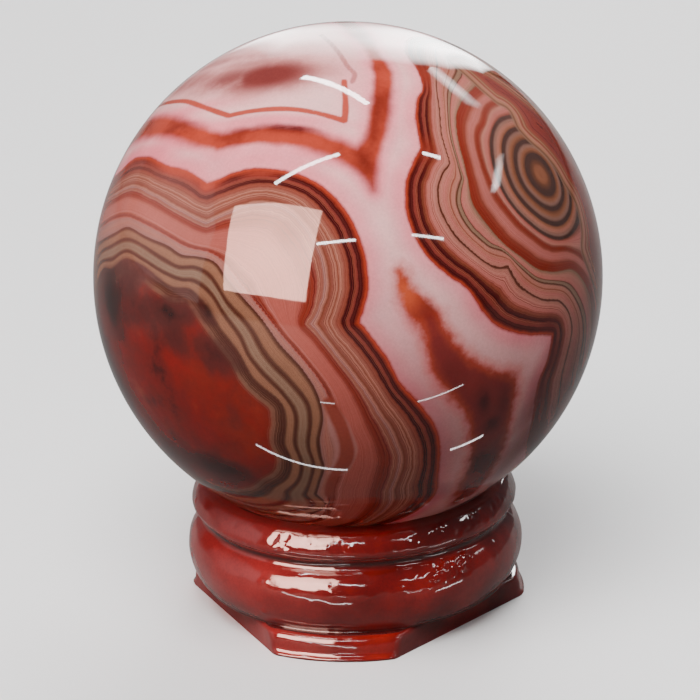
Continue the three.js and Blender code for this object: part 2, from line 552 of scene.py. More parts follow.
PINK_CLOUDS = (
    Cloud(13, -9, 4, 7, 25, 0.6), Cloud(-20, 36.4, 22, 1.8, 0, 1.0), Cloud(8, 22, 6, 9, 20, 0.5),
    Cloud(-50, 40.5, 16, 2, 12, 0.9), Cloud(-52, 30.5, 14, 2.6, 8, 0.9), Cloud(-20, 27, 22, 2.6, 0, 0.9),
    Cloud(20, -20, 4, 9, 40, 0.5), Cloud(3, 46, 4, 10, 0, 0.6), Cloud(13, 34, 3, 12, -12, 0.4),
)
FLAME_DARK = (
    Cloud(39.9, -34.9, 2.4, 2.4), Cloud(34.3, -28.5, 1.8, 4.0, 25, 0.8), Cloud(41, -29, 3, 5, 15, 0.45),
    Cloud(45, -45, 6, 6, 25, 0.85), Cloud(17.2, -6.4, 2.6, 1.3, -40, 0.5), Cloud(24, -22.5, 3, 5, 30, 0.3),
    Cloud(-14.3, 33.8, 6, 1.2, -6, 1.3), Cloud(-24, 33.8, 4, 0.7, 4, 0.6),
    Cloud(-47, 36.6, 8, 0.8, 12, 0.45), Cloud(8.5, 36, 1.0, 7, -12, 0.55), Cloud(4.5, 25.5, 1.3, 3, 25, 0.6),
)
CLOUD_FIELDS = {
    "lower_right_shade": LOWER_RIGHT_SHADE, "milky": MILKY, "amber": AMBER, "orange_border": ORANGE_BORDER,
    "dark_clouds": DARK_CLOUDS, "purple_clouds": PURPLE_CLOUDS, "mauve_and_low_shade": MAUVE_AND_LOW_SHADE,
    "smears": SMEARS, "pink_clouds": PINK_CLOUDS, "fire_dark": FLAME_DARK,
}


@dataclass(frozen=True)
class BackGrowth:
    """A third growth on the side that the photograph doesn't show, with a wavy outline round its centre."""

    centre: Pair = BACK
    radius: float = 36.0
    waves: tuple[tuple[int, float, float], ...] = (
        (2, 3.6, 0.4), (3, 2.6, 2.1), (5, 1.3, 0.9), (8, 0.7, 4.0),
    )
    steps: int = 8

    def depth(self, places: np.ndarray) -> np.ndarray:
        """Depth below the growth's outline, in the same steps as the right growth.

        Args:
            places: Unit vectors, one per row.

        Returns:
            0 on the outline, growing to the number of steps at the centre, and below 0 outside.
        """
        away, turn = about(self.centre, places)
        outline = np.full(len(places), self.radius)
        for count, height, phase in self.waves:
            fade = np.clip(away / self.radius, 0.15, 1.0)
            outline += height * fade * np.sin(count * turn + phase)
        inside = (outline - away) / self.radius
        return np.where(inside > 0, self.steps * inside, inside * self.radius / 10)


@dataclass(frozen=True)
class AgatePattern:
    """The fields that the stone's colours are drawn from, at every place of a fine mesh."""

    outside_step: float = 10.0  # degrees that count as one step outside the traced lines
    thin_half: float = 0.55  # half widths of the thin lines, in degrees
    hair_half: float = 0.6
    halo_half: float = 0.9
    halo_away: float = 6.5  # how far outside the back growth its halo runs
    back: BackGrowth = BackGrowth()

    def fields(self, places: np.ndarray) -> dict[str, np.ndarray]:
        """Every field of the pattern.

        Args:
            places: Unit vectors from the ball's centre, one per row.

        Returns:
            One array of values per field name.
        """
        lon, _ = angles_of(places)
        thin_half = np.interp(lon, (-135.0, -85.0), (0.0, self.thin_half))
        from_back = self.back.depth(places) * self.outside_step
        return {
            "depth_left": nested_depth(LEFT_LINES, places, self.outside_step),
            "depth_right": self.right_depth(places),
            "orange_band": ORANGE_BAND.distance(places),
            "thin_line": thin_half - THIN_LINE.distance(places),
            "red_hair": self.hair_half - RED_HAIR.distance(places),
            "fire": FLAME.distance(places),
            "lens": LENS.distance(places),
            "lens_rim": LENS_RIM.distance(places),
            "tangle": TANGLE.distance(places),
            "halo": self.halo_half - np.abs(from_back + self.halo_away),
            **{name: clouds(parts, places) for name, parts in CLOUD_FIELDS.items()},
        }

    def right_depth(self, places: np.ndarray) -> np.ndarray:
        """Depth in the right growth, with the rings of its eye, and in the growth at the back.

        Args:
            places: Unit vectors, one per row.

        Returns:
            The depth, which is 0 on each growth's border.
        """
        depth = nested_depth(RIGHT_LINES, places, self.outside_step)
        away, turn = about(EYE, places)
        away = away * (1 + sum(height * np.sin(count * turn + phase) for count, height, phase in EYE_WAVES))
        inner = len(RIGHT_LINES) - 1
        ring = EYE_RINGS[0] - away
        inside = np.maximum(RIGHT_LINES[-1].distance(places), 0)
        share = inside / np.maximum(inside - np.minimum(ring, 0), 1e-6)
        depth = np.where(depth >= inner - 1e-4, inner + np.clip(share, 0, 1), depth)
        knots = list(EYE_RINGS) + [0.0]
        rings = np.interp(-away, [-k for k in knots], [inner + 1 + k for k in range(len(knots))])
        depth = np.where((depth >= inner + 1 - 1e-4) & (ring > 0), rings, depth)
        return np.maximum(depth, self.back.depth(places))


# The colour inputs and the colour result of a mix node, which share their names with its other kinds.
MIX_A, MIX_B, MIX_RESULT = 6, 7, 2


class Graph:
    """A node tree, with short calls for the nodes that the finishes are made of."""

    def __init__(self, tree: bpy.types.NodeTree) -> None:
        """Keeps the tree that the nodes go into."""
        self.tree = tree

    def node(self, kind: str, feeds: dict[Any, Any] | None = None, **settings: Any) -> bpy.types.Node:
        """Adds a node.

        Args:
            kind: Blender's name of the node's type.
            feeds: A socket or a plain value for each input, by its name or number.
            settings: Values of the node's own properties.

        Returns:
            The new node.
        """
        node = self.tree.nodes.new(kind)
        for name, setting in settings.items():
            setattr(node, name, setting)
        for key, value in (feeds or {}).items():
            if isinstance(value, bpy.types.NodeSocket):
                self.tree.links.new(value, node.inputs[key])
            else:
                node.inputs[key].default_value = value
        return node

    def math(self, operation: str, a: Any, b: Any = 0.0) -> bpy.types.NodeSocket:
        """The result of a sum.

        Args:
            operation: Blender's name of the sum.
            a: The first value or socket.
            b: The second one.

        Returns:
            The result's socket.
        """
        return self.node("ShaderNodeMath", {0: a, 1: b}, operation=operation).outputs[0]

    def plus(self, first: Any, *others: Any) -> Any:
        """All the values added up."""
        return reduce(partial(self.math, "ADD"), others, first)

    def times(self, first: Any, *others: Any) -> Any:
        """All the values multiplied."""
        return reduce(partial(self.math, "MULTIPLY"), others, first)

    def largest(self, first: Any, *others: Any) -> Any:
        """The largest of the values."""
        return reduce(partial(self.math, "MAXIMUM"), others, first)

    def step(self, value: Any, low: Any, high: float, to_low: float = 0.0, to_high: float = 1.0) -> Any:
        """A smooth step of a value.

        Args:
            value: The value.
            low: Where the step starts.
            high: Where it ends. It may be below low.
            to_low: The result before the step.
            to_high: The result after it.

        Returns:
            The result's socket.
        """
        feeds = {"Value": value, "From Min": low, "From Max": high, "To Min": to_low, "To Max": to_high}
        return self.node("ShaderNodeMapRange", feeds, interpolation_type="SMOOTHSTEP").outputs["Result"]

    def zone(self, value: Any, rise: Pair, fall: Pair) -> Any:
        """A mask for a stretch of a value.

        Args:
            value: The value.
            rise: Between which values the mask grows from 0 to 1.
            fall: Between which values it goes back to 0.

        Returns:
            The mask's socket.
        """
        return self.times(self.step(value, *rise), self.step(value, *reversed(fall)))

    def group(self, tree: bpy.types.NodeTree, feeds: dict[str, Any]) -> bpy.types.Node:
        """A shared group, placed among these nodes with its own values."""
        return self.node("ShaderNodeGroup", feeds, node_tree=tree)

    def place(self) -> bpy.types.NodeSocket:
        """The place on the object, in metres."""
        return self.node("ShaderNodeTexCoord").outputs["Object"]

    def field(self, name: str) -> bpy.types.NodeSocket:
        """A field that is stored on the mesh."""
        return self.node("ShaderNodeAttribute", attribute_name=name).outputs["Fac"]

    def noise(self, scale: float, detail: float = 2.0, rough: float = 0.5, vector: Any = None,
              along: Any = None) -> bpy.types.NodeSocket:
        """A noise in space, or along one value.

        Args:
            scale: Repeats per metre, or per unit of the value.
            detail: How many finer layers it has.
            rough: How strong the finer layers are.
            vector: The place, for a noise in space.
            along: The value that a noise along one value follows.

        Returns:
            The noise, about 0 to 1.
        """
        feeds = {"Scale": scale, "Detail": detail, "Roughness": rough}
        if along is None:
            return self.node("ShaderNodeTexNoise", {"Vector": vector, **feeds}).outputs["Fac"]
        return self.node("ShaderNodeTexNoise", {"W": along, **feeds}, noise_dimensions="1D").outputs["Fac"]

    def wobble(self, scale: float, detail: float, rough: float, vector: Any) -> Any:
        """A noise in space that goes evenly to both sides of 0. Its arguments are those of noise."""
        return self.math("SUBTRACT", self.noise(scale, detail, rough, vector), 0.5)

    def mix(self, amount: Any, a: Any, b: Any, blend_type: str = "MIX") -> bpy.types.NodeSocket:
        """A blend of two colours.

        Args:
            amount: How much of the second colour there is, from 0 to 1.
            a: The first colour or socket.
            b: The second one.
            blend_type: Blender's name of the way in which the second goes over the first.

        Returns:
            The blended colour's socket.
        """
        feeds = {"Factor": amount, MIX_A: opaque(a), MIX_B: opaque(b)}
        node = self.node("ShaderNodeMix", feeds, data_type="RGBA", blend_type=blend_type)
        return node.outputs[MIX_RESULT]

    def ramp(self, value: Any, stops: Stops) -> bpy.types.NodeSocket:
        """A colour that changes along a value.

        Args:
            value: The value, in the same unit as the stops.
            stops: At most 32 pairs of a value and a colour, in order.

        Returns:
            The colour.
        """
        low, high = stops[0][0], stops[-1][0]
        share = self.node("ShaderNodeMapRange", {"Value": value, "From Min": low, "From Max": high})
        node = self.node("ShaderNodeValToRGB", {"Fac": share.outputs["Result"]})
        elements = node.color_ramp.elements
        for place, _ in stops[1:-1]:
            elements.new((place - low) / (high - low))
        for element, (_, colour) in zip(elements, stops):
            element.color = opaque(colour)
        return node.outputs["Color"]


def opaque(colour: Any) -> Any:
    """A colour as a node's input takes it.

    Args:
        colour: Red, green and blue, or a socket.

    Returns:
        The colour with full cover added, or the socket as it is.
    """
    return colour if isinstance(colour, bpy.types.NodeSocket) else (*colour, 1.0)


def blank_material(name: str) -> tuple[bpy.types.Material, Graph]:
    """A new material without nodes.

    Args:
        name: Its name.

    Returns:
        The material and its graph.
    """
    material = bpy.data.materials.new(name)
    material.use_nodes = True
    material.node_tree.nodes.clear()
    return material, Graph(material.node_tree)


def skin_group() -> bpy.types.NodeTree:
    """The faint unevenness that both the polished stone and the lacquer have.

    Returns:
        A node group with inputs for the size and strength of its waves, grain and smudges, that puts out a
        height and a roughness.
    """
    tree = bpy.data.node_groups.new("gloss_skin", "ShaderNodeTree")
    for name in ("Wave Scale", "Wave Height", "Grain Scale", "Grain Height", "Roughness", "Smudge"):
        tree.interface.new_socket(name, in_out="INPUT", socket_type="NodeSocketFloat")
    for name in ("Height", "Roughness"):
        tree.interface.new_socket(name, in_out="OUTPUT", socket_type="NodeSocketFloat")
    graph = Graph(tree)
    given = graph.node("NodeGroupInput").outputs
    place = graph.place()
    wave = graph.noise(given["Wave Scale"], 2.0, 0.45, place)
    grain = graph.noise(given["Grain Scale"], 3.0, 0.6, place)
    smudge = graph.step(graph.noise(140.0, 4.0, 0.6, place), 0.42, 0.72)
    height = graph.plus(graph.times(wave, given["Wave Height"]), graph.times(grain, given["Grain Height"]))
    rough = graph.plus(given["Roughness"], graph.times(smudge, given["Smudge"]))
    graph.node("NodeGroupOutput", {"Height": height, "Roughness": rough})
    return tree


def drift_group() -> bpy.types.NodeTree:
    """Slow changes of tone over a surface: it makes a colour darker or lighter in soft patches.

    Returns:
        A node group that takes a colour, the patches' scale and their strength, and puts out the colour.
    """
    tree = bpy.data.node_groups.new("tone_drift", "ShaderNodeTree")
    tree.interface.new_socket("Color", in_out="INPUT", socket_type="NodeSocketColor")
    tree.interface.new_socket("Scale", in_out="INPUT", socket_type="NodeSocketFloat")
    tree.interface.new_socket("Amount", in_out="INPUT", socket_type="NodeSocketFloat")
    tree.interface.new_socket("Color", in_out="OUTPUT", socket_type="NodeSocketColor")
    graph = Graph(tree)
    given = graph.node("NodeGroupInput").outputs
    place = graph.place()
    broad = graph.wobble(given["Scale"], 4.0, 0.6, place)
    specks = graph.wobble(4200.0, 2.0, 0.6, place)
    patch = graph.plus(broad, graph.times(specks, 0.9))
    gain = graph.plus(1.0, graph.times(patch, given["Amount"]))
    tinted = graph.node("ShaderNodeVectorMath", {0: given["Color"], "Scale": gain}, operation="SCALE")
    graph.node("NodeGroupOutput", {"Color": tinted.outputs[0]})
    return tree


@dataclass(frozen=True)
class GlossFinish:
    """What the stone's and the lacquer's finishes share."""

    skin: bpy.types.NodeTree
    drift: bpy.types.NodeTree

    def coat(self, graph: Graph, colour: Any, drift: dict[str, float], skin: dict[str, float],
             relief: dict[str, float], shader: dict[str, Any]) -> None:
        """Ends a material with a glossy shader, drifting in tone and faintly uneven.

        Args:
            graph: The material's nodes.
            colour: Its colour.
            drift: The values of the tone's drift.
            skin: The values of the skin's unevenness.
            relief: The bump's strength and distance.
            shader: The values that are the same all over.
        """
        toned = graph.group(self.drift, {"Color": colour, **drift})
        uneven = graph.group(self.skin, skin)
        bump = graph.node("ShaderNodeBump", {"Height": uneven.outputs["Height"], **relief})
        surface = graph.node("ShaderNodeBsdfPrincipled", {
            "Base Color": toned.outputs["Color"], "Roughness": uneven.outputs["Roughness"],
            "Normal": bump.outputs["Normal"], **shader})
        graph.node("ShaderNodeOutputMaterial", {"Surface": surface.outputs["BSDF"]})


@dataclass(frozen=True)
class Noises:
    """The noises in space that several of the stone's layers share."""

    place: Any
    broad: Any
    medium: Any
    patchy: Any
    wander: Any  # goes to both sides of 0, as do the next two
    specks: Any
    ragged: Any


@dataclass(frozen=True)
class AgateFinish(GlossFinish):
    """Polished agate. Its colours lie along the depth in each growth."""

    white: Colour = (0.88, 0.48, 0.465)
    white_warm: Colour = (0.82, 0.38, 0.37)
    pink: Colour = (0.80, 0.17, 0.22)
    orange: Colour = (0.37, 0.044, 0.023)
    rim: Colour = (0.33, 0.031, 0.012)
    orange_red: Colour = (0.21, 0.022, 0.011)
    maroon: Colour = (0.062, 0.004, 0.004)
    maroon_light: Colour = (0.19, 0.028, 0.022)
    brown: Colour = (0.17, 0.036, 0.018)
    brown_red: Colour = (0.24, 0.048, 0.028)
    brown_pink: Colour = (0.25, 0.066, 0.044)
    pale_brown: Colour = (0.40, 0.145, 0.10)
    salmon: Colour = (0.38, 0.085, 0.065)
    grey_pink: Colour = (0.44, 0.162, 0.122)
    rose: Colour = (0.45, 0.128, 0.105)
    mauve: Colour = (0.34, 0.145, 0.125)
    # partly painted shade: the dark mauve laid low on the white
    mauve_and_shade: Colour = (0.15, 0.045, 0.050)
    dark: Colour = (0.080, 0.021, 0.012)
    ring_dark: Colour = (0.062, 0.030, 0.025)
    ring_tan: Colour = (0.25, 0.088, 0.045)
    ring_grey: Colour = (0.24, 0.120, 0.092)
    tan: Colour = (0.285, 0.123, 0.068)
    tan_grey: Colour = (0.245, 0.136, 0.086)
    olive: Colour = (0.125, 0.047, 0.026)
    red: Colour = (0.215, 0.006, 0.003)
    black: Colour = (0.012, 0.003, 0.003)
    purple: Colour = (0.11, 0.034, 0.030)
    flame: Colour = (0.31, 0.036, 0.017)
    flame_deep: Colour = (0.165, 0.016, 0.014)
    flame_amber: Colour = (0.46, 0.070, 0.026)
    flame_spot: Colour = (0.030, 0.003, 0.004)
    flame_glow: Colour = (0.46, 0.075, 0.07)
    smear: Colour = (0.135, 0.018, 0.015)
    smear_edge: Colour = (0.60, 0.16, 0.15)
    # painted shade of the ball's lower right, inside and outside the right growth
    shade_inside_growth: Colour = (0.10, 0.006, 0.006)
    shade_outside_growth: Colour = (0.12, 0.010, 0.010)
    milk: Colour = (0.72, 0.30, 0.26)
    milky_brown: Colour = (0.21, 0.055, 0.046)
    milky_rose: Colour = (0.50, 0.12, 0.09)
    lens_pale: Colour = (0.37, 0.155, 0.135)
    lens_orange: Colour = (0.23, 0.032, 0.017)
    core_dark: Colour = (0.06, 0.004, 0.003)
    core_red: Colour = (0.15, 0.007, 0.004)
    core_orange: Colour = (0.26, 0.022, 0.009)
    core_amber: Colour = (0.24, 0.018, 0.007)
    core_veil: Colour = (0.050, 0.010, 0.009)
    tangle_width: float = 25.0  # degrees from the tangle's edge to its last stop

    def left_outer(self) -> Stops:
        """The left growth's colours from its border inwards.

        Returns:
            Depths with their colours.
        """
        return (
            (-0.05, self.rim), (0.02, self.rim), (0.07, self.orange_red), (0.115, self.maroon),
            (0.185, self.maroon), (0.22, self.maroon_light), (0.27, self.brown_red), (0.31, self.maroon),
            (0.38, self.maroon), (0.43, self.brown_red), (0.52, self.brown_pink), (0.61, self.pale_brown),
            (0.655, self.brown), (0.69, self.pale_brown), (0.80, self.brown_pink), (0.85, self.brown),
            (0.90, self.pale_brown), (0.97, self.mauve), (1.02, self.brown_pink), (1.07, self.pale_brown),
            (1.12, self.maroon_light), (1.17, self.orange_red), (1.27, self.orange_red), (1.40, self.salmon),
            (1.72, self.salmon), (1.84, self.rose), (1.91, self.orange_red), (1.97, self.maroon_light),
            (2.04, self.orange_red), (2.12, self.rose), (2.2, self.mauve),
        )

    def left_inner(self) -> Stops:
        """The left growth's colours from its dark lines to its core.

        Returns:
            Depths with their colours.
        """
        stops = [(2.2, self.mauve), (2.5, self.grey_pink), (2.84, self.mauve), (2.93, self.dark)]
        for line, filling in ((3, self.tan), (4, self.tan_grey), (5, self.tan)):
            stops += [(line + 0.03, self.dark), (line + 0.13, self.olive), (line + 0.28, filling),
                      (line + 0.70, filling), (line + 0.85, self.olive), (line + 0.94, self.dark)]
        stops += [(6.06, self.dark), (6.16, self.olive), (6.26, self.tan_grey), (6.38, self.red),
                  (8.0, self.red)]
        return tuple(stops)

    def right_outer(self) -> Stops:
        """The right growth's colours from its border inwards.

        Returns:
            Depths with their colours.
        """
        return (
            (-0.05, self.rim), (0.01, self.rim), (0.05, self.orange_red), (0.09, self.maroon),
            (0.18, self.maroon), (0.22, self.maroon_light), (0.31, self.brown_red), (0.35, self.maroon),
            (0.43, self.maroon), (0.48, self.brown), (0.56, self.brown_red), (0.66, self.rose),
            (0.90, self.grey_pink), (0.955, self.dark), (0.99, self.dark), (1.03, self.grey_pink),
            (1.30, self.rose), (1.52, self.pale_brown), (1.57, self.brown_red), (1.62, self.pale_brown),
            (1.80, self.grey_pink), (1.88, self.olive), (1.93, self.dark),
            (1.97, self.tan_grey), (2.12, self.tan_grey), (2.18, self.dark), (2.24, self.rose),
            (2.60, self.grey_pink), (2.86, self.tan_grey), (2.93, self.brown), (2.97, self.orange_red),
            (3.06, self.orange_red),
        )

    def right_inner(self) -> Stops:
        """The right growth's colours from its orange bands to the eye's middle.

        Returns:
            Depths with their colours.
        """
        return (
            (3.06, self.orange_red), (3.20, self.orange_red), (3.34, self.brown_red), (3.50, self.rose),
            (3.70, self.rose), (3.80, self.brown_red), (3.94, self.orange_red), (4.10, self.brown_pink),
            (4.25, self.grey_pink), (4.60, self.rose), (4.80, self.brown_pink), (4.90, self.ring_dark),
            (5.10, self.ring_dark), (5.26, self.ring_grey), (5.58, self.pale_brown), (5.80, self.ring_tan),
            (5.92, self.ring_dark), (6.16, self.ring_dark), (6.34, self.ring_grey), (6.62, self.ring_tan),
            (6.86, self.olive), (6.96, self.ring_dark), (7.18, self.ring_dark), (7.38, self.ring_grey),
            (7.64, self.ring_tan), (7.86, self.olive), (7.96, self.ring_dark), (8.20, self.ring_dark),
            (8.44, self.olive), (8.62, self.ring_tan), (9.0, self.ring_tan),
        )

    def tangle_stops(self) -> Stops:
        """The colours of the tangle of streaks, from its edge to its middle.

        Returns:
            Shares of the way in, with their colours.
        """
        return (
            (0.0, self.tan_grey), (0.035, self.olive), (0.06, self.tan), (0.10, self.pale_brown),
            (0.125, self.brown), (0.15, self.tan), (0.19, self.brown_red), (0.25, self.maroon_light),
            (0.40, self.orange_red), (0.48, self.brown_red), (0.54, self.salmon),
            (0.58, self.brown), (0.62, self.rose), (0.66, self.grey_pink), (0.69, self.brown),
            (0.72, self.rose), (0.82, self.orange_red), (1.0, self.brown_pink),
        )

    def noises(self, graph: Graph) -> Noises:
        """Places the shared noises among a material's nodes.

        Args:
            graph: The material's nodes.

        Returns:
            The noises.
        """
        place = graph.place()
        medium = graph.noise(260.0, 4.0, 0.6, place)
        ragged = graph.plus(*(
            graph.times(graph.wobble(scale, 2.0, 0.5, place), amount)
            for scale, amount in ((150.0, 0.07), (420.0, 0.08), (2000.0, 0.04))
        ))
        return Noises(
            place=place, broad=graph.noise(75.0, 4.0, 0.55, place), medium=medium,
            patchy=graph.noise(150.0, 4.0, 0.6, place), wander=graph.math("SUBTRACT", medium, 0.5),
            specks=graph.wobble(900.0, 3.0, 0.6, place), ragged=ragged,
        )

    def growth(self, graph: Graph, name: str, outer: Stops, inner: Stops, ragged: Any) -> tuple[Any, Any]:
        """The colour inside one growth and the mask of its inside.

        Args:
            graph: The material's nodes.
            name: The depth field.
            outer: The outer stops.
            inner: The inner stops.
            ragged: A small noise that keeps the lines from being quite even.

        Returns:
            The colour and the mask.
        """
        depth = graph.plus(graph.field(name), ragged)
        split = inner[0][0]
        colour = graph.mix(graph.math("GREATER_THAN", depth, split), graph.ramp(depth, outer),
                           graph.ramp(depth, inner))
        fine = graph.noise(46.0, 4.0, 0.8, along=depth)
        colour = graph.mix(graph.step(fine, 0.32, 0.56, 0.80, 0.0), colour, self.brown, "MULTIPLY")
        colour = graph.mix(graph.step(fine, 0.54, 0.70, 0.0, 0.20), colour, self.pale_brown)
        return colour, graph.step(depth, -0.08, 0.005)

    def white_ground(self, graph: Graph, noises: Noises) -> Any:
        """The white agate between the growths, with pink blushes, dark red smears, and mauve patches that
        are partly its own tint and partly painted shade low on the front.

        Args:
            graph: The material's nodes.
            noises: The shared noises.

        Returns:
            The colour.
        """
        broad = noises.broad
        near = graph.largest(graph.step(graph.field("depth_left"), -0.62, -0.05),
                             graph.step(graph.field("depth_right"), -0.55, -0.05),
                             graph.step(graph.field("orange_band"), -4.2, -0.3))
        mottled = graph.noise(170.0, 5.0, 0.62, noises.place)
        smear = graph.times(graph.field("smears"), graph.step(mottled, 0.34, 0.60, 0.68, 1.0))
        colour = graph.mix(graph.step(broad, 0.3, 0.75), self.white, self.white_warm)
        colour = graph.mix(graph.times(near, graph.step(broad, 0.25, 0.7, 0.4, 0.95)), colour, self.pink)
        colour = graph.mix(graph.times(graph.field("pink_clouds"), 0.75), colour, self.pink)
        colour = graph.mix(graph.step(smear, 0.0, 0.6, 0.0, 0.6), colour, self.smear_edge)
        colour = graph.mix(graph.step(smear, 0.08, 0.92, 0.0, 0.97), colour, self.smear)
        # partly painted shade: dark mauve over the white, most on the lower front
        return graph.mix(graph.times(graph.field("mauve_and_low_shade"), 0.85), colour, self.mauve_and_shade)

    def orange_bands(self, graph: Graph, noises: Noises, colour: Any) -> Any:
        """Lays the orange band with its dark places, the two thin lines and the back's halo over a colour.

        Args:
            graph: The material's nodes.
            noises: The shared noises.
            colour: The colour so far.

        Returns:
            The new colour.
        """
        broad, patchy, wander = noises.broad, noises.patchy, noises.wander
        band = graph.plus(graph.field("orange_band"), graph.times(wander, 1.1),
                          graph.times(noises.specks, 0.7))
        inside = graph.mix(graph.step(patchy, 0.40, 0.62), self.orange, self.orange_red)
        inside = graph.mix(graph.step(patchy, 0.62, 0.74, 0.0, 0.8), inside, self.brown)
        softness = graph.step(broad, 0.4, 0.6, -0.9, -2.4)
        colour = graph.mix(graph.step(band, softness, 0.8), colour, inside)
        shade = graph.times(graph.field("fire_dark"), graph.step(patchy, 0.3, 0.55, 0.6, 0.95),
                            graph.step(band, -1.8, -0.4))
        colour = graph.mix(shade, colour, self.maroon)
        thin = graph.plus(graph.field("thin_line"), graph.times(wander, 0.5))
        colour = graph.mix(graph.step(thin, -0.35, 0.15, 0.0, 0.95), colour, self.orange)
        hair = graph.step(graph.field("red_hair"), -0.2, 0.3, 0.0, 0.55)
        colour = graph.mix(hair, colour, self.orange_red)
        halo = graph.plus(graph.field("halo"), graph.times(wander, 1.6))
        broken = graph.step(broad, 0.38, 0.58, 0.0, 0.85)
        return graph.mix(graph.times(graph.step(halo, -0.5, 0.7), broken), colour, self.orange)

    def flame_tongue(self, graph: Graph, noises: Noises, colour: Any) -> Any:
        """Lays the flame over a colour: an orange tongue with dark spots and a pink glow round it.

        Args:
            graph: The material's nodes.
            noises: The shared noises.
            colour: The colour so far.

        Returns:
            The new colour.
        """
        medium = noises.medium
        edge = graph.plus(graph.field("fire"), graph.times(noises.wander, 3.6),
                          graph.times(noises.specks, 2.4))
        inside = graph.mix(graph.step(edge, -0.8, 2.2), self.flame, self.flame_deep)
        inside = graph.mix(graph.field("amber"), inside, self.flame_amber)
        inside = graph.mix(graph.step(medium, 0.52, 0.75, 0.0, 0.5), inside, self.maroon_light)
        spots = graph.times(graph.field("fire_dark"), graph.step(medium, 0.62, 0.4, 0.45, 1.0))
        inside = graph.mix(spots, inside, self.flame_spot)
        colour = graph.mix(graph.step(edge, -3.6, -0.8, 0.0, 0.5), colour, self.flame_glow)
        return graph.mix(graph.step(edge, -1.7, 0.3), colour, inside)

    def right_growth(self, graph: Graph, noises: Noises, colour: Any) -> Any:
        """Lays the right growth, with its tangle of streaks, over a colour, and a painted shade on the
        ball's lower right.

        Args:
            graph: The material's nodes.
            noises: The shared noises.
            colour: The colour so far.

        Returns:
            The new colour.
        """
        right, mask = self.growth(graph, "depth_right", self.right_outer(), self.right_inner(),
                                  noises.ragged)
        border = graph.times(graph.field("orange_border"), graph.step(graph.field("depth_right"), 0.7, 0.45))
        right = graph.mix(border, right, self.orange_red)
        inward = graph.plus(graph.field("tangle"), graph.times(noises.wander, 0.9))
        streaks = graph.ramp(graph.times(inward, 1 / self.tangle_width), self.tangle_stops())
        fine = graph.noise(1.3, 3.0, 0.7, along=inward)
        streaks = graph.mix(graph.step(fine, 0.35, 0.5, 0.6, 0.0), streaks, self.brown, "MULTIPLY")
        right = graph.mix(graph.step(graph.field("tangle"), -0.5, 0.8), right, streaks)
        # painted shade: darkens the lower right, inside the growth and outside it
        lower_right_shade = graph.field("lower_right_shade")
        right = graph.mix(graph.times(lower_right_shade, 0.85), right, self.shade_inside_growth)
        colour = graph.mix(graph.times(lower_right_shade, 0.8), colour, self.shade_outside_growth)
        return graph.mix(mask, colour, right)

    def left_growth(self, graph: Graph, noises: Noises, colour: Any) -> Any:
        """Lays the left growth over a colour.

        Args:
            graph: The material's nodes.
            noises: The shared noises.
            colour: The colour so far.

        Returns:
            The new colour.
        """
        left, mask = self.growth(graph, "depth_left", self.left_outer(), self.left_inner(),
                                 noises.ragged)
        left = self.left_bands(graph, noises, left)
        left = self.core(graph, noises, left)
        left = self.lens(graph, left)
        left = self.core_clouds(graph, noises, left)
        return graph.mix(mask, colour, left)

    def left_bands(self, graph: Graph, noises: Noises, colour: Any) -> Any:
        """Adds what varies along the left growth's bands: milky and orange stretches and fine stripes.

        Args:
            graph: The material's nodes.
            noises: The shared noises.
            colour: The bands' colour.

        Returns:
            The new colour.
        """
        depth, milky = graph.field("depth_left"), graph.field("milky")
        dark_pair = graph.zone(depth, (0.10, 0.15), (0.39, 0.47))
        colour = graph.mix(graph.times(milky, dark_pair, 0.75), colour, self.milky_brown)
        border = graph.times(graph.field("orange_border"), graph.step(depth, 0.30, 0.08))
        colour = graph.mix(border, colour, self.orange)
        rosy = graph.zone(depth, (1.3, 1.5), (1.75, 2.0))
        colour = graph.mix(graph.times(milky, rosy, 0.5), colour, self.milky_rose)
        along = graph.plus(depth, graph.times(noises.wander, 0.05))
        stripes = graph.step(graph.noise(19.0, 3.0, 0.75, along=along), 0.50, 0.34, 0.0, 0.6)
        striped = graph.zone(depth, (0.95, 1.1), (2.7, 2.9))
        colour = graph.mix(graph.times(stripes, striped), colour, self.brown_red)
        plain = graph.zone(depth, (1.28, 1.45), (1.72, 1.9))
        return graph.mix(graph.times(plain, 0.6), colour, self.salmon)

    def core(self, graph: Graph, noises: Noises, colour: Any) -> Any:
        """Adds the left growth's red core.

        Args:
            graph: The material's nodes.
            noises: The shared noises.
            colour: The left growth's colour so far.

        Returns:
            The new colour.
        """
        stops = ((0.30, self.core_dark), (0.42, self.core_red), (0.58, self.red), (0.75, self.core_orange))
        patches = graph.ramp(graph.noise(190.0, 6.0, 0.65, noises.place), stops)
        amber = graph.times(graph.field("amber"), graph.step(noises.medium, 0.3, 0.6, 0.3, 0.9))
        patches = graph.mix(amber, patches, self.core_amber)
        return graph.mix(graph.step(graph.field("depth_left"), 6.1, 6.5), colour, patches)

    def lens(self, graph: Graph, colour: Any) -> Any:
        """Adds the pale lens between two of the left growth's bands, with its orange rim.

        Args:
            graph: The material's nodes.
            colour: The left growth's colour so far.

        Returns:
            The new colour.
        """
        pale = graph.times(graph.step(graph.field("lens"), -1.3, -0.4),
                           graph.step(graph.field("depth_left"), 2.7, 2.5), 0.92)
        colour = graph.mix(pale, colour, self.lens_pale)
        rim = graph.times(graph.step(graph.field("lens_rim"), -0.8, 0.3), 0.92)
        return graph.mix(rim, colour, self.lens_orange)

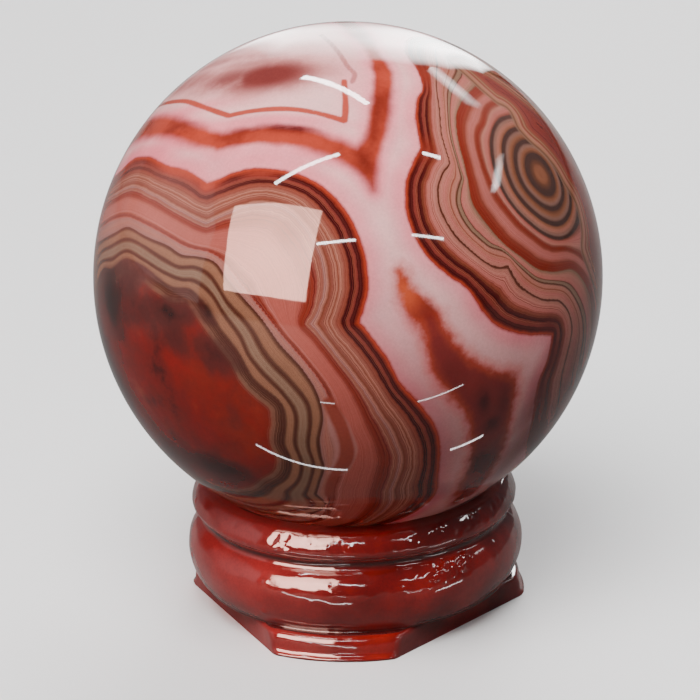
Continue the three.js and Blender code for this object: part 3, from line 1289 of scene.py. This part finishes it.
    def core_clouds(self, graph: Graph, noises: Noises, colour: Any) -> Any:
        """Adds the purple haze and the dark clouds over the left growth's core.

        Args:
            graph: The material's nodes.
            noises: The shared noises.
            colour: The left growth's colour so far.

        Returns:
            The new colour.
        """
        depth, clouded = graph.field("depth_left"), graph.field("dark_clouds")
        haze = graph.times(graph.field("purple_clouds"), graph.step(depth, 5.3, 6.0),
                           graph.step(noises.medium, 0.25, 0.6))
        colour = graph.mix(haze, colour, self.purple)
        cloudy = graph.plus(clouded, graph.times(noises.wander, 1.1))
        veil = graph.times(graph.step(cloudy, 0.05, 0.55, 0.0, 0.75), graph.step(depth, 5.2, 6.1))
        colour = graph.mix(veil, colour, self.core_veil)
        dark = graph.times(graph.step(cloudy, 0.55, 0.95), graph.step(clouded, 0.02, 0.3),
                           graph.step(depth, 5.0, 6.3))
        return graph.mix(dark, colour, self.black)

    def material(self) -> bpy.types.Material:
        """Builds the stone's material.

        Returns:
            The material.
        """
        material, graph = blank_material("polished_agate")
        noises = self.noises(graph)
        colour = self.white_ground(graph, noises)
        for layer in (self.orange_bands, self.flame_tongue, self.right_growth, self.left_growth):
            colour = layer(graph, noises, colour)
        colour = graph.mix(graph.times(graph.field("milky"), 0.13), colour, self.milk)
        self.coat(
            graph, colour, {"Scale": 320.0, "Amount": 0.3},
            {"Wave Scale": 60.0, "Wave Height": 0.5, "Grain Scale": 2600.0, "Grain Height": 0.02,
             "Roughness": 0.03, "Smudge": 0.02},
            {"Strength": 0.06, "Distance": 0.0004},
            {"IOR": 1.54, "Specular IOR Level": 0.42, "Subsurface Weight": 0.1, "Subsurface Scale": 0.0008,
             "Subsurface Radius": (1.0, 0.35, 0.25)},
        )
        return material


@dataclass(frozen=True)
class LacquerFinish(GlossFinish):
    """Thick glossy red lacquer over turned wood, with painted shade in its grooves and painted light on its
    left side.
    """

    red: Colour = (0.115, 0.0025, 0.002)
    # painted shade: the darker red laid into the grooves
    deep: Colour = (0.05, 0.002, 0.002)
    bright: Colour = (0.24, 0.007, 0.005)
    lit_left_side: Colour = (0.28, 0.016, 0.015)  # painted light: the left side is paler, as if more light fell there

    def material(self) -> bpy.types.Material:
        """Builds the lacquer's material.

        Returns:
            The material.
        """
        material, graph = blank_material("red_lacquer")
        place = graph.place()
        colour = graph.mix(graph.step(graph.noise(120.0, 4.0, 0.6, place), 0.4, 0.7), self.red, self.bright)
        # painted light: towards the left side (low X) the red turns paler, as if lit more
        across = graph.node("ShaderNodeSeparateXYZ", {"Vector": place}).outputs["X"]
        uneven = graph.times(graph.wobble(260.0, 4.0, 0.65, place), 0.012)
        side = graph.step(graph.plus(across, uneven), 0.001, -0.0075)
        colour = graph.mix(graph.times(side, 0.7), colour, self.lit_left_side)
        # painted shade: the grooves are darkened by a field stored on the mesh
        colour = graph.mix(graph.field("groove_shade"), colour, self.deep)
        self.coat(
            graph, colour, {"Scale": 260.0, "Amount": 0.6},
            {"Wave Scale": 650.0, "Wave Height": 1.0, "Grain Scale": 5200.0, "Grain Height": 0.05,
             "Roughness": 0.06, "Smudge": 0.05},
            {"Strength": 0.22, "Distance": 0.0002},
            {"IOR": 1.52, "Coat Weight": 0.4, "Coat Roughness": 0.05, "Sheen Weight": 0.25,
             "Sheen Roughness": 0.45, "Sheen Tint": (1.0, 0.62, 0.60, 1.0)},
        )
        return material


def mesh_object(name: str, points: np.ndarray, quads: np.ndarray, fields: dict[str, np.ndarray],
                material: bpy.types.Material) -> bpy.types.Object:
    """A smooth-shaded object of four-sided faces.

    Args:
        name: The piece's name.
        points: Its points in millimetres.
        quads: Four point numbers per face. A face whose last two are the same has three sides.
        fields: Values for each point, by their names.
        material: What it is made of.

    Returns:
        The object, which rides on the body.
    """
    mesh = bpy.data.meshes.new(name)
    faces = [tuple(q) if q[2] != q[3] else tuple(q[:3]) for q in quads.tolist()]
    mesh.from_pydata((points * MM).tolist(), [], faces)
    mesh.polygons.foreach_set("use_smooth", np.ones(len(mesh.polygons), dtype=bool))
    for key, values in fields.items():
        layer = mesh.attributes.new(key, "FLOAT", "POINT")
        layer.data.foreach_set("value", values.astype(np.float32))
    mesh.materials.append(material)
    mesh.update()
    piece = bpy.data.objects.new(name, mesh)
    bpy.context.scene.collection.objects.link(piece)
    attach(piece, "root")
    log.info("%s: %d points, %d faces", name, len(mesh.vertices), len(mesh.polygons))
    return piece


@dataclass
class AgateBall:
    """The stone: a ball, ground true and polished."""

    radius: float = BALL_RADIUS
    height: float = BALL_HEIGHT
    cells: int = 124  # along each of the six sides of the cube that the mesh is swelled from

    def build(self, material: bpy.types.Material) -> bpy.types.Object:
        """Makes the ball with its pattern fields.

        Args:
            material: The polished stone.

        Returns:
            The ball, which stands for the CAD node.
        """
        places, quads = self.round_cube()
        fields = AgatePattern().fields(places)
        points = places * self.radius + np.array([0.0, 0.0, self.height])
        ball = mesh_object("agate_ball_fine", points, quads, fields, material)
        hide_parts("agate_ball")
        return ball

    def round_cube(self) -> tuple[np.ndarray, np.ndarray]:
        """The mesh of a ball that is swelled from a cube, so that its cells are about even.

        Returns:
            Unit vectors, one per point, and four point numbers per face.
        """
        count = self.cells
        line = np.tan(np.linspace(-math.pi / 4, math.pi / 4, count + 1))
        u, v = (grid.ravel() for grid in np.meshgrid(line, line, indexing="ij"))
        one = np.ones_like(u)
        sides = [(one, u, v), (-one, v, u), (v, one, u), (u, -one, v), (u, v, one), (v, u, -one)]
        every = np.vstack([np.stack(side, axis=1) for side in sides])
        every /= np.linalg.norm(every, axis=1, keepdims=True)
        _, first, back = np.unique(np.round(every, 6), axis=0, return_index=True, return_inverse=True)
        i, j = (grid.ravel() for grid in np.meshgrid(np.arange(count), np.arange(count), indexing="ij"))
        corner = i * (count + 1) + j
        cell = np.stack([corner, corner + count + 1, corner + count + 2, corner + 1], axis=1)
        quads = np.vstack([cell + side * (count + 1) ** 2 for side in range(6)])
        return every[first], back.reshape(-1)[quads]


@dataclass(frozen=True)
class Blisters:
    """A group of blisters and small craters in the lacquer, strewn about one direction."""

    count: int
    turn: float  # degrees from the front, towards +X
    spread: float
    low: float  # millimetres above the floor
    high: float


@dataclass
class TurnedStand:
    """The stand: one turned piece of wood under lacquer, in millimetres."""

    foot_bevel: float = 0.25
    foot_rim: Pair = (17.1, 0.25)
    foot_lip: tuple[Pair, Pair] = ((16.72, 0.4), (16.64, 0.75))
    foot_edge: tuple[Pair, Pair] = ((16.6, 2.34), (16.0, 2.37))
    foot_top: Pair = (15.6, 2.38)
    lower_groove: Pair = (15.3, 2.46)
    body_middle: Pair = (14.06, 6.2)
    body_bulge: float = 2.73
    body_above: float = 3.25
    body_below: float = 4.0
    body_span: Pair = (-60.0, 62.0)  # degrees up from its widest place
    upper_groove: Pair = (15.2, 9.6)
    collar_middle: Pair = (13.96, 11.0)
    collar_bulge: float = 2.32
    collar_round: float = 1.15
    collar_span: Pair = (-52.0, -6.0)
    collar_bend: Pair = (16.06, 12.0)
    collar_shoulder: Pair = (15.5, 12.65)
    crown_bend: Pair = (15.3, 13.0)
    crown: Pair = (14.85, 13.0)
    bowl_mouth: float = 14.35
    bowl_mouth_reach: float = BALL_RADIUS + 0.3  # from the ball's middle
    bowl_radius: float = BALL_RADIUS + 0.02
    cut_directions: tuple[float, ...] = (-64.5, 47.5, 171.5)
    cut_distance: float = 13.75
    cut_rounding: float = 0.45
    cut_depth: float = 2.0  # how far in from the flats a point can still be moved
    cut_margin: float = 0.02  # how far above the lower groove
    outer_edge: Pair = (13.2, 0.3)  # only beyond this radius and height is the lacquer uneven
    waves: tuple[Pair, ...] = ((0.06, 2.6), (0.014, 0.9))  # height and size
    wave_squeeze: float = 1.4  # how much closer they are upwards
    # painted shade of the grooves: how far it reaches up and down from each, and between which radii
    groove_shade_height: float = 0.28
    groove_shade_band: Pair = (13.5, 15.9)
    blister_groups: tuple[Blisters, ...] = (
        Blisters(46, 40, 14, 11.3, 12.6), Blisters(18, 38, 9, 7.2, 9.0), Blisters(5, 19, 4, 7.0, 7.9),
        Blisters(22, -20, 14, 11.0, 12.7), Blisters(18, 100, 50, 6.0, 12.5),
        Blisters(22, 200, 60, 5.0, 12.5), Blisters(14, -90, 40, 4.0, 12.5), Blisters(10, 0, 20, 3.6, 9.0),
        Blisters(70, 35, 5, 7.3, 8.9),
    )
    blister_sizes: Pair = (0.22, 0.5)
    blister_heights: tuple[float, ...] = (0.12, 0.2, -0.16)  # for each millimetre of their size
    blister_seed: int = 11
    turns: int = 480
    row: float = 0.13

    def bend(self, start: Pair, lean: Pair, end: Pair, steps: int) -> list[Pair]:
        """Points of a smooth bend of the profile.

        Args:
            start: Where it begins.
            lean: The point that it leans towards.
            end: Where it ends.
            steps: How many steps it has.

        Returns:
            Its points.
        """
        t = np.linspace(0, 1, steps + 1)[:, None]
        a, b, c = (np.array(p) for p in (start, lean, end))
        return [tuple(p) for p in (1 - t) ** 2 * a + 2 * t * (1 - t) * b + t**2 * c]

    def oval(self, middle: Pair, bulge: float, above: float, below: float, span: Pair,
             steps: int) -> list[Pair]:
        """Points along an upright oval.

        Args:
            middle: Its middle.
            bulge: How far it reaches out from there.
            above: How far it reaches up.
            below: How far it reaches down.
            span: The angles of the first and the last point, in degrees up from its widest place.
            steps: How many steps there are between them.

        Returns:
            Its points.
        """
        angles = np.radians(np.linspace(*span, steps + 1))
        heights = np.where(angles > 0, above, below)
        return list(zip(middle[0] + bulge * np.cos(angles), middle[1] + heights * np.sin(angles)))

    def profile(self) -> np.ndarray:
        """The whole profile, evenly spaced, from the middle of the foot round to the middle of the bowl.

        Returns:
            Radius and height of each point.
        """
        mouth = math.asin(self.bowl_mouth / self.bowl_mouth_reach)
        bowl = [(self.bowl_radius * math.sin(angle), BALL_HEIGHT - self.bowl_radius * math.cos(angle))
                for angle in np.linspace(mouth, 0, 24)]
        side = (self.collar_middle[0] + self.collar_bulge, self.collar_middle[1])
        outside = (
            [(self.foot_rim[0] - self.foot_bevel, 0.0)]
            + self.bend(self.foot_rim, *self.foot_lip, steps=8)
            + self.bend(self.foot_lip[1], *self.foot_edge, steps=12)[1:]
            + [self.foot_top, self.lower_groove]
            + self.oval(self.body_middle, self.body_bulge, self.body_above, self.body_below,
                        self.body_span, steps=48)
            + [self.upper_groove]
            + self.oval(self.collar_middle, self.collar_bulge, self.collar_round, self.collar_round,
                        self.collar_span, steps=10)
            + self.bend(side, self.collar_bend, self.collar_shoulder, steps=12)
            + self.bend(self.collar_shoulder, self.crown_bend, self.crown, steps=8)[1:]
            + bowl[:1]
        )
        path = np.array(outside)
        lengths = np.concatenate([[0], np.cumsum(np.linalg.norm(np.diff(path, axis=0), axis=1))])
        even = np.linspace(0, lengths[-1], math.ceil(lengths[-1] / self.row))
        soft = np.stack([np.interp(even, lengths, path[:, k]) for k in (0, 1)], axis=1)
        for _ in range(3):
            soft[1:-1] = (soft[:-2] + 2 * soft[1:-1] + soft[2:]) / 4
        bottom = [(r, 0.0) for r in np.linspace(0, self.foot_rim[0] - self.foot_bevel, 9)[:-1]]
        return np.vstack([bottom, soft, bowl[1:]])

    def build(self, material: bpy.types.Material) -> bpy.types.Object:
        """Makes the stand.

        Args:
            material: The lacquer.

        Returns:
            The stand, which stands for the CAD node.
        """
        profile = self.profile()
        angles = np.linspace(0, 2 * math.pi, self.turns, endpoint=False)
        radius = np.repeat(profile[:, :1], self.turns, axis=1)
        height = np.repeat(profile[:, 1:], self.turns, axis=1)
        radius = self.cut_foot(radius, height, angles)
        shift, groove_shade = self.relief(profile, radius, height, angles)
        turned = np.stack([radius * np.sin(angles), -radius * np.cos(angles), height], axis=2) + shift
        middles = [[0, 0, 0], [0, 0, profile[-1, 1]]]
        points = np.vstack([turned[1:-1].reshape(-1, 3), middles])
        groove_shade = np.concatenate([groove_shade[1:-1].ravel(), [0, 0]])
        quads = self.faces(len(profile) - 2)
        stand = mesh_object("stand_fine", points, quads, {"groove_shade": groove_shade}, material)
        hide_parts("wooden_stand")
        return stand

    def cut_foot(self, radius: np.ndarray, height: np.ndarray, angles: np.ndarray) -> np.ndarray:
        """Cuts the foot's three sides off flat, with rounded edges.

        Args:
            radius: The radius of every point, with a row for each point of the profile.
            height: Their heights.
            angles: The angle of each column, from the front towards +X.

        Returns:
            The new radius of every point.
        """
        soft = self.cut_rounding
        facing = np.cos(angles - np.radians(self.cut_directions)[:, None]).max(axis=0)
        near_top = np.clip(1 - (self.foot_top[1] - height) / soft, 0, 1)
        flat = self.cut_distance / facing - soft * (1 - np.sqrt(1 - near_top**2))
        share = np.clip(0.5 + 0.5 * (radius - flat) / soft, 0, 1)
        cut = radius * (1 - share) + flat * share - soft * share * (1 - share) * 0.5
        foot = height < self.lower_groove[1] + self.cut_margin
        outside = radius > self.cut_distance - self.cut_depth
        return np.where(foot & outside, np.minimum(radius, cut), radius)

    def relief(self, profile: np.ndarray, radius: np.ndarray, height: np.ndarray,
               angles: np.ndarray) -> tuple[np.ndarray, np.ndarray]:
        """The lacquer's unevenness, and the painted shade of its grooves.

        Args:
            profile: The profile's points.
            radius: The radius of every point, with a row for each point of the profile.
            height: Their heights.
            angles: The angle of each column, from the front towards +X.

        Returns:
            The shift of every point, and the painted shade of the grooves at it, from 0 to 1, strongest
            level with a groove.
        """
        slope = np.gradient(profile, axis=0)
        slope /= np.maximum(np.linalg.norm(slope, axis=1, keepdims=True), TINY)
        outer = (profile[:, 0] > self.outer_edge[0]) & (profile[:, 1] > self.outer_edge[1])
        x, y = radius * np.sin(angles), -radius * np.cos(angles)
        spots = np.stack([x[outer], y[outer], height[outer] * self.wave_squeeze], axis=2)
        rise = [sum(high * noise.noise(Vector(spot) / size) for high, size in self.waves)
                for spot in spots.reshape(-1, 3)]
        shift = np.zeros_like(radius)
        shift[outer] = np.reshape(rise, spots.shape[:2])
        for turn, middle, size, high in self.blisters():
            sine, cosine = math.sin(turn), math.cos(turn)
            away = np.hypot(x * cosine + y * sine, height - middle)
            covered = (away < size) & (x * sine - y * cosine > 0) & outer[:, None]
            shift += np.where(covered, high * (1 - (away / size) ** 2) ** 2, 0)
        # painted shade: darkest level with the two grooves, within their band of radii
        grooves = [self.lower_groove[1], self.upper_groove[1]]
        near = np.abs(profile[:, 1:] - grooves).min(axis=1)
        within = (profile[:, 0] > self.groove_shade_band[0]) & (profile[:, 0] < self.groove_shade_band[1])
        groove_shade = np.exp(-((near / self.groove_shade_height) ** 2)) * within
        up = np.repeat(-slope[:, :1], len(angles), axis=1)
        outward = np.stack([slope[:, 1:] * np.sin(angles), -slope[:, 1:] * np.cos(angles), up], axis=2)
        return shift[:, :, None] * outward, np.repeat(groove_shade[:, None], len(angles), axis=1)

    def blisters(self) -> list[tuple[float, float, float, float]]:
        """Strews the blisters and craters.

        Returns:
            The angle, height above the floor, radius and height of each one.
        """
        rng = np.random.default_rng(self.blister_seed)
        found = []
        for group in self.blister_groups:
            for _ in range(group.count):
                size = rng.uniform(*self.blister_sizes)
                found.append((math.radians(rng.normal(group.turn, group.spread)),
                              rng.uniform(group.low, group.high), size,
                              size * rng.choice(self.blister_heights)))
        return found

    def faces(self, rows: int) -> np.ndarray:
        """Faces between the rings of points, closed by a fan at each end.

        Args:
            rows: How many rings there are.

        Returns:
            Four point numbers per face. The middles of the foot and the bowl come after the rings' points.
        """
        turn = np.arange(self.turns)
        after = (turn + 1) % self.turns
        ring = np.stack([turn, after, after + self.turns, turn + self.turns], axis=1)
        quads = [ring + row * self.turns for row in range(rows - 1)]
        last, middle = (rows - 1) * self.turns, np.full(self.turns, rows * self.turns)
        quads.append(np.stack([after, turn, middle, middle], axis=1))
        quads.append(np.stack([last + turn, last + after, middle + 1, middle + 1], axis=1))
        return np.vstack(quads)


@dataclass(frozen=True)
class Strip:
    """A slim light that the ball mirrors."""

    name: str
    ends: tuple[Pair, Pair]  # where the photograph shows them, in pixels
    width: float  # metres
    power: float = 200.0  # watts for each square metre


@dataclass(frozen=True)
class Streak:
    """A soft streak of light that the ball mirrors."""

    name: str
    ends: tuple[Pair, Pair]  # where the photograph shows them, in pixels
    edge: float  # pixels from its middle to its last edge, to the left of the way between its ends
    glows: tuple[Pair, ...]  # shares of the way between its ends, and how strongly it glows there
    strength: float


STRIPS = (
    Strip("tube_high", ((304, 77), (369, 104)), 0.05),
    Strip("tube_middle", ((276, 184), (341, 154)), 0.035),
    Strip("tube_low", ((318, 244), (357, 240)), 0.025),
    Strip("tube_right", ((413, 235), (445, 239)), 0.025, 160.0),
    Strip("tube_eye", ((424, 153), (442, 158)), 0.035),
    Strip("glint_long", ((265, 444), (350, 475)), 0.0006, 60.0),
    Strip("glint_short", ((322, 402), (336, 404)), 0.0005, 60.0),
    Strip("glint_middle", ((421, 403), (460, 385)), 0.0006, 60.0),
    Strip("glint_right", ((453, 451), (482, 435)), 0.0007, 60.0),
)
STREAKS = (
    Streak("streak_high", ((436, 71), (479, 108)), 6.0,
           ((-0.1, 0.7), (0.2, 0.9), (0.5, 1.0), (0.8, 0.6), (1.05, 0.0)), 14.0),
    Streak("streak_eye", ((496, 194), (502, 152)), -5.0,
           ((0.0, 0.0), (0.2, 1.0), (0.5, 0.75), (0.8, 0.3), (1.0, 0.0)), 26.0),
)

# The window's rows of points: two pixels of the photograph and how strongly it glows there.
WINDOW = (
    ((225, 290, 0.8), (266, 296, 0.9), (307, 302, 1.0)),
    ((228, 249, 0.85), (269, 252, 1.0), (314, 255, 1.0)),
    ((236, 206, 0.65), (277, 203, 0.75), (324, 211, 0.6)),
)
WINDOW_TINT = (1.0, 0.56, 0.46)

# The same of the wall and the ceiling, with longitude and latitude on the ball.
PALE_WALL = (
    ((-60, -9, 0.0), (-44, -7, 0.7), (-34, -5, 1.0)),
    ((-60, 12, 0.0), (-42, 12, 0.7), (-29.4, 11, 1.0)),
    ((-56, 34, 0.0), (-42, 34, 0.0), (-31, 34, 0.0)),
)
CEILING = (
    ((-66, 60, 0), (-30, 56, 0), (3, 54, 0), (24, 52, 0), (40, 50.5, 0), (56, 49.5, 0), (68, 48, 0)),
    ((-66, 63, 0.3), (-30, 60.5, 0.4), (3, 59, 0.5), (26, 55, 1.1), (42, 53.5, 1.3), (58, 52, 1.0),
     (71, 51, 0)),
    ((-66, 67, 0.6), (-30, 65, 1), (3, 64, 1), (28, 61, 2.2), (46, 59, 2.4), (64, 56.5, 1.1), (77, 54, 0)),
    ((-63, 71, 0.5), (-30, 71, 0.8), (3, 71, 0.8), (30, 69, 1.2), (50, 67, 1.1), (68, 63, 0.4),
     (80, 60, 0)),
    ((-60, 75, 0.2), (-28, 76, 0.3), (3, 76, 0.3), (32, 75, 0.25), (53, 73, 0.2), (71, 69, 0.1),
     (83, 66, 0)),
    ((-55, 79, 0), (-25, 82, 0), (3, 82, 0), (34, 81, 0), (56, 79, 0), (74, 75, 0), (86, 72, 0)),
)


@dataclass
class Studio:
    """The floor, the lights and the camera, in metres."""

    floor_size: float = 6.0
    floor_seen: Colour = (0.74, 0.74, 0.745)
    floor_mirrored: Colour = (0.075, 0.075, 0.075)
    strip_distance: float = 1.3
    strip_clearance: float = 0.003  # above the floor
    streak_distance: float = 1.3
    aim: float = 0.03  # how high the lamps are centred

    def floor(self) -> None:
        """A plain pale floor that looks darker when it is seen mirrored."""
        bpy.ops.mesh.primitive_plane_add(size=self.floor_size)
        plane = bpy.context.object
        plane.name = "floor"
        material = bpy.data.materials.new("floor_paint")
        material.use_nodes = True
        graph = Graph(material.node_tree)
        shader = material.node_tree.nodes["Principled BSDF"]
        seen = graph.node("ShaderNodeLightPath").outputs["Is Camera Ray"]
        paint = graph.mix(seen, self.floor_mirrored, self.floor_seen)
        material.node_tree.links.new(paint, shader.inputs["Base Color"])
        shader.inputs["Roughness"].default_value = 0.8
        plane.data.materials.append(material)

    def camera(self) -> None:
        """The camera, at the photograph's angle."""
        data = bpy.data.cameras.new("camera")
        data.lens = PHOTOGRAPH.lens
        data.sensor_width = PHOTOGRAPH.sensor
        data.clip_start = 0.01
        camera = bpy.data.objects.new("camera", data)
        camera.matrix_world = Matrix.Translation(PHOTOGRAPH.place) @ PHOTOGRAPH.turn()
        bpy.context.scene.collection.objects.link(camera)
        bpy.context.scene.camera = camera

    def mirrored(self, lon: float, lat: float) -> tuple[Vector, Vector]:
        """What a place of the ball mirrors.

        Args:
            lon: The place's longitude in the pattern's own degrees.
            lat: Its latitude.

        Returns:
            The place, and the direction from which light is mirrored there into the camera.
        """
        normal = Vector(directions(((lon, lat),))[0])
        place = normal * BALL_RADIUS * MM + Vector((0, 0, BALL_HEIGHT * MM))
        view = (place - Vector(PHOTOGRAPH.place)).normalized()
        return place, view - 2 * view.dot(normal) * normal

    def strip(self, strip: Strip) -> None:
        """A slim light that only shows mirrored. It stops just above the floor.

        Args:
            strip: What it is like.
        """
        ends = []
        for lon, lat in PHOTOGRAPH.shown(strip.ends):
            place, way = self.mirrored(lon, lat)
            reach = self.strip_distance
            if way.z < 0:
                reach = min(reach, (place.z - self.strip_clearance) / -way.z)
            ends.append(place + way * reach)
        middle, across = (ends[0] + ends[1]) / 2, ends[1] - ends[0]
        facing = (middle - Vector((0, 0, BALL_HEIGHT * MM))).normalized()
        light = self.area(strip.name, middle, facing, across, (across.length, strip.width), strip.power)
        light.visible_diffuse = False

    def streak(self, streak: Streak) -> None:
        """A soft streak, which is a card of three columns that glows in its middle one.

        Args:
            streak: What it is like.
        """
        start, end = (Vector(pixel) for pixel in streak.ends)
        way = end - start
        side = Vector((way.y, -way.x)).normalized() * streak.edge
        rows = tuple(
            tuple((*(start + way * share + side * column), glow * (column == 0)) for column in (-1, 0, 1))
            for share, glow in streak.glows
        )
        self.card(streak.name, self.seen(rows), self.streak_distance, streak.strength)

    def seen(self, rows: tuple[Glow, ...]) -> tuple[Glow, ...]:
        """Finds where the ball shows a card's points.

        Args:
            rows: Rows of points, each with two pixels of the photograph and how strongly it glows.

        Returns:
            The rows, with longitudes and latitudes in place of the pixels.
        """
        places = [PHOTOGRAPH.shown(tuple(point[:2] for point in row)) for row in rows]
        return tuple(
            tuple((*place, point[2]) for place, point in zip(*line)) for line in zip(places, rows)
        )

    def card(self, name: str, rows: tuple[Glow, ...], distance: float, strength: float,
             tint: Colour = (1.0, 1.0, 1.0)) -> None:
        """A glowing card that only shows mirrored in the ball.

        Args:
            name: The card's name.
            rows: Its rows of points. Each point has the pattern's longitude and latitude where it is seen
                on the ball, and how strongly it glows, from 0 to 1.
            distance: How far it is from the ball, in metres.
            strength: How bright it is.
            tint: Its colour.
        """
        points = [point for row in rows for point in row]
        seen = [self.mirrored(lon, lat) for lon, lat, _ in points]
        wide = len(rows[0])
        faces = [(k, k + 1, k + wide + 1, k + wide) for k in range(len(seen) - wide) if (k + 1) % wide]
        mesh = bpy.data.meshes.new(name)
        mesh.from_pydata([place + way * distance for place, way in seen], [], faces)
        glow = mesh.attributes.new("glow", "FLOAT", "POINT")
        glow.data.foreach_set("value", [amount for _, _, amount in points])
        material, graph = blank_material(name)
        bright = graph.times(graph.field("glow"), strength)
        light = graph.node("ShaderNodeEmission", {"Color": (*tint, 1.0), "Strength": bright})
        graph.node("ShaderNodeOutputMaterial", {"Surface": light.outputs[0]})
        mesh.materials.append(material)
        card = bpy.data.objects.new(name, mesh)
        card.visible_camera = False
        card.visible_diffuse = False
        card.visible_shadow = False
        bpy.context.scene.collection.objects.link(card)

    def area(self, name: str, middle: Vector, facing: Vector, across: Vector, size: Pair,
             power: float) -> bpy.types.Object:
        """A flat light.

        Args:
            name: The light's name.
            middle: Its middle.
            facing: The direction that its back faces.
            across: The direction of its first side.
            size: Its two sides in metres.
            power: In watts for each square metre of it.

        Returns:
            The light, which the camera doesn't see.
        """
        data = bpy.data.lights.new(name, "AREA")
        data.shape = "RECTANGLE"
        data.size, data.size_y = size
        data.energy = power * size[0] * size[1]
        light = bpy.data.objects.new(name, data)
        x = (across - facing * across.dot(facing)).normalized()
        y = facing.cross(x)
        light.matrix_world = Matrix.Translation(middle) @ Matrix((x, y, facing)).transposed().to_4x4()
        light.visible_camera = False
        bpy.context.scene.collection.objects.link(light)
        return light

    def lamp(self, name: str, azimuth: float, elevation: float, side: float, power: float,
             distance: float = 0.8) -> None:
        """A soft light that lights the object, but doesn't show mirrored in it.

        Args:
            name: The light's name.
            azimuth: Degrees from the front, towards +X.
            elevation: Degrees above level.
            side: The length of its sides in metres.
            power: In watts for each square metre of it.
            distance: From the object, in metres.
        """
        turn, rise = math.radians(azimuth), math.radians(elevation)
        way = Vector((math.sin(turn) * math.cos(rise), -math.cos(turn) * math.cos(rise), math.sin(rise)))
        middle = way * distance + Vector((0, 0, self.aim))
        across = Vector((math.cos(turn), math.sin(turn), 0))
        light = self.area(name, middle, way, across, (side, side), power)
        light.visible_glossy = False

    def lights(self) -> None:
        """A soft light from above, and a window, slim tubes and a ceiling that show mirrored."""
        self.lamp("softbox", -16, 60, 0.5, 52.0)
        self.lamp("fill_left", -70, 30, 0.4, 12.0)
        self.lamp("fill_back", 165, 45, 0.5, 20.0)
        self.card("window", self.seen(WINDOW), 0.9, 38.0, WINDOW_TINT)
        self.card("pale_wall", PALE_WALL, 1.6, 0.9)
        self.card("ceiling", CEILING, 1.2, 11.0)
        for streak in STREAKS:
            self.streak(streak)
        for strip in STRIPS:
            self.strip(strip)

    def sky(self) -> None:
        """A faint even light from everywhere."""
        world = bpy.data.worlds.new("sky")
        world.use_nodes = True
        inputs = world.node_tree.nodes["Background"].inputs
        inputs["Color"].default_value = (0.95, 0.97, 1.0, 1.0)
        inputs["Strength"].default_value = 0.12
        bpy.context.scene.world = world

    def build(self) -> None:
        """Sets up the floor, the camera and the lights."""
        self.floor()
        self.camera()
        self.lights()
        self.sky()


def main() -> None:
    """Builds the ball, the stand and the studio."""
    logging.basicConfig(level=logging.INFO, format="%(name)s: %(message)s")
    skin, drift = skin_group(), drift_group()
    AgateBall().build(AgateFinish(skin, drift).material())
    TurnedStand().build(LacquerFinish(skin, drift).material())
    Studio().build()


if __name__ == "__main__":
    main()
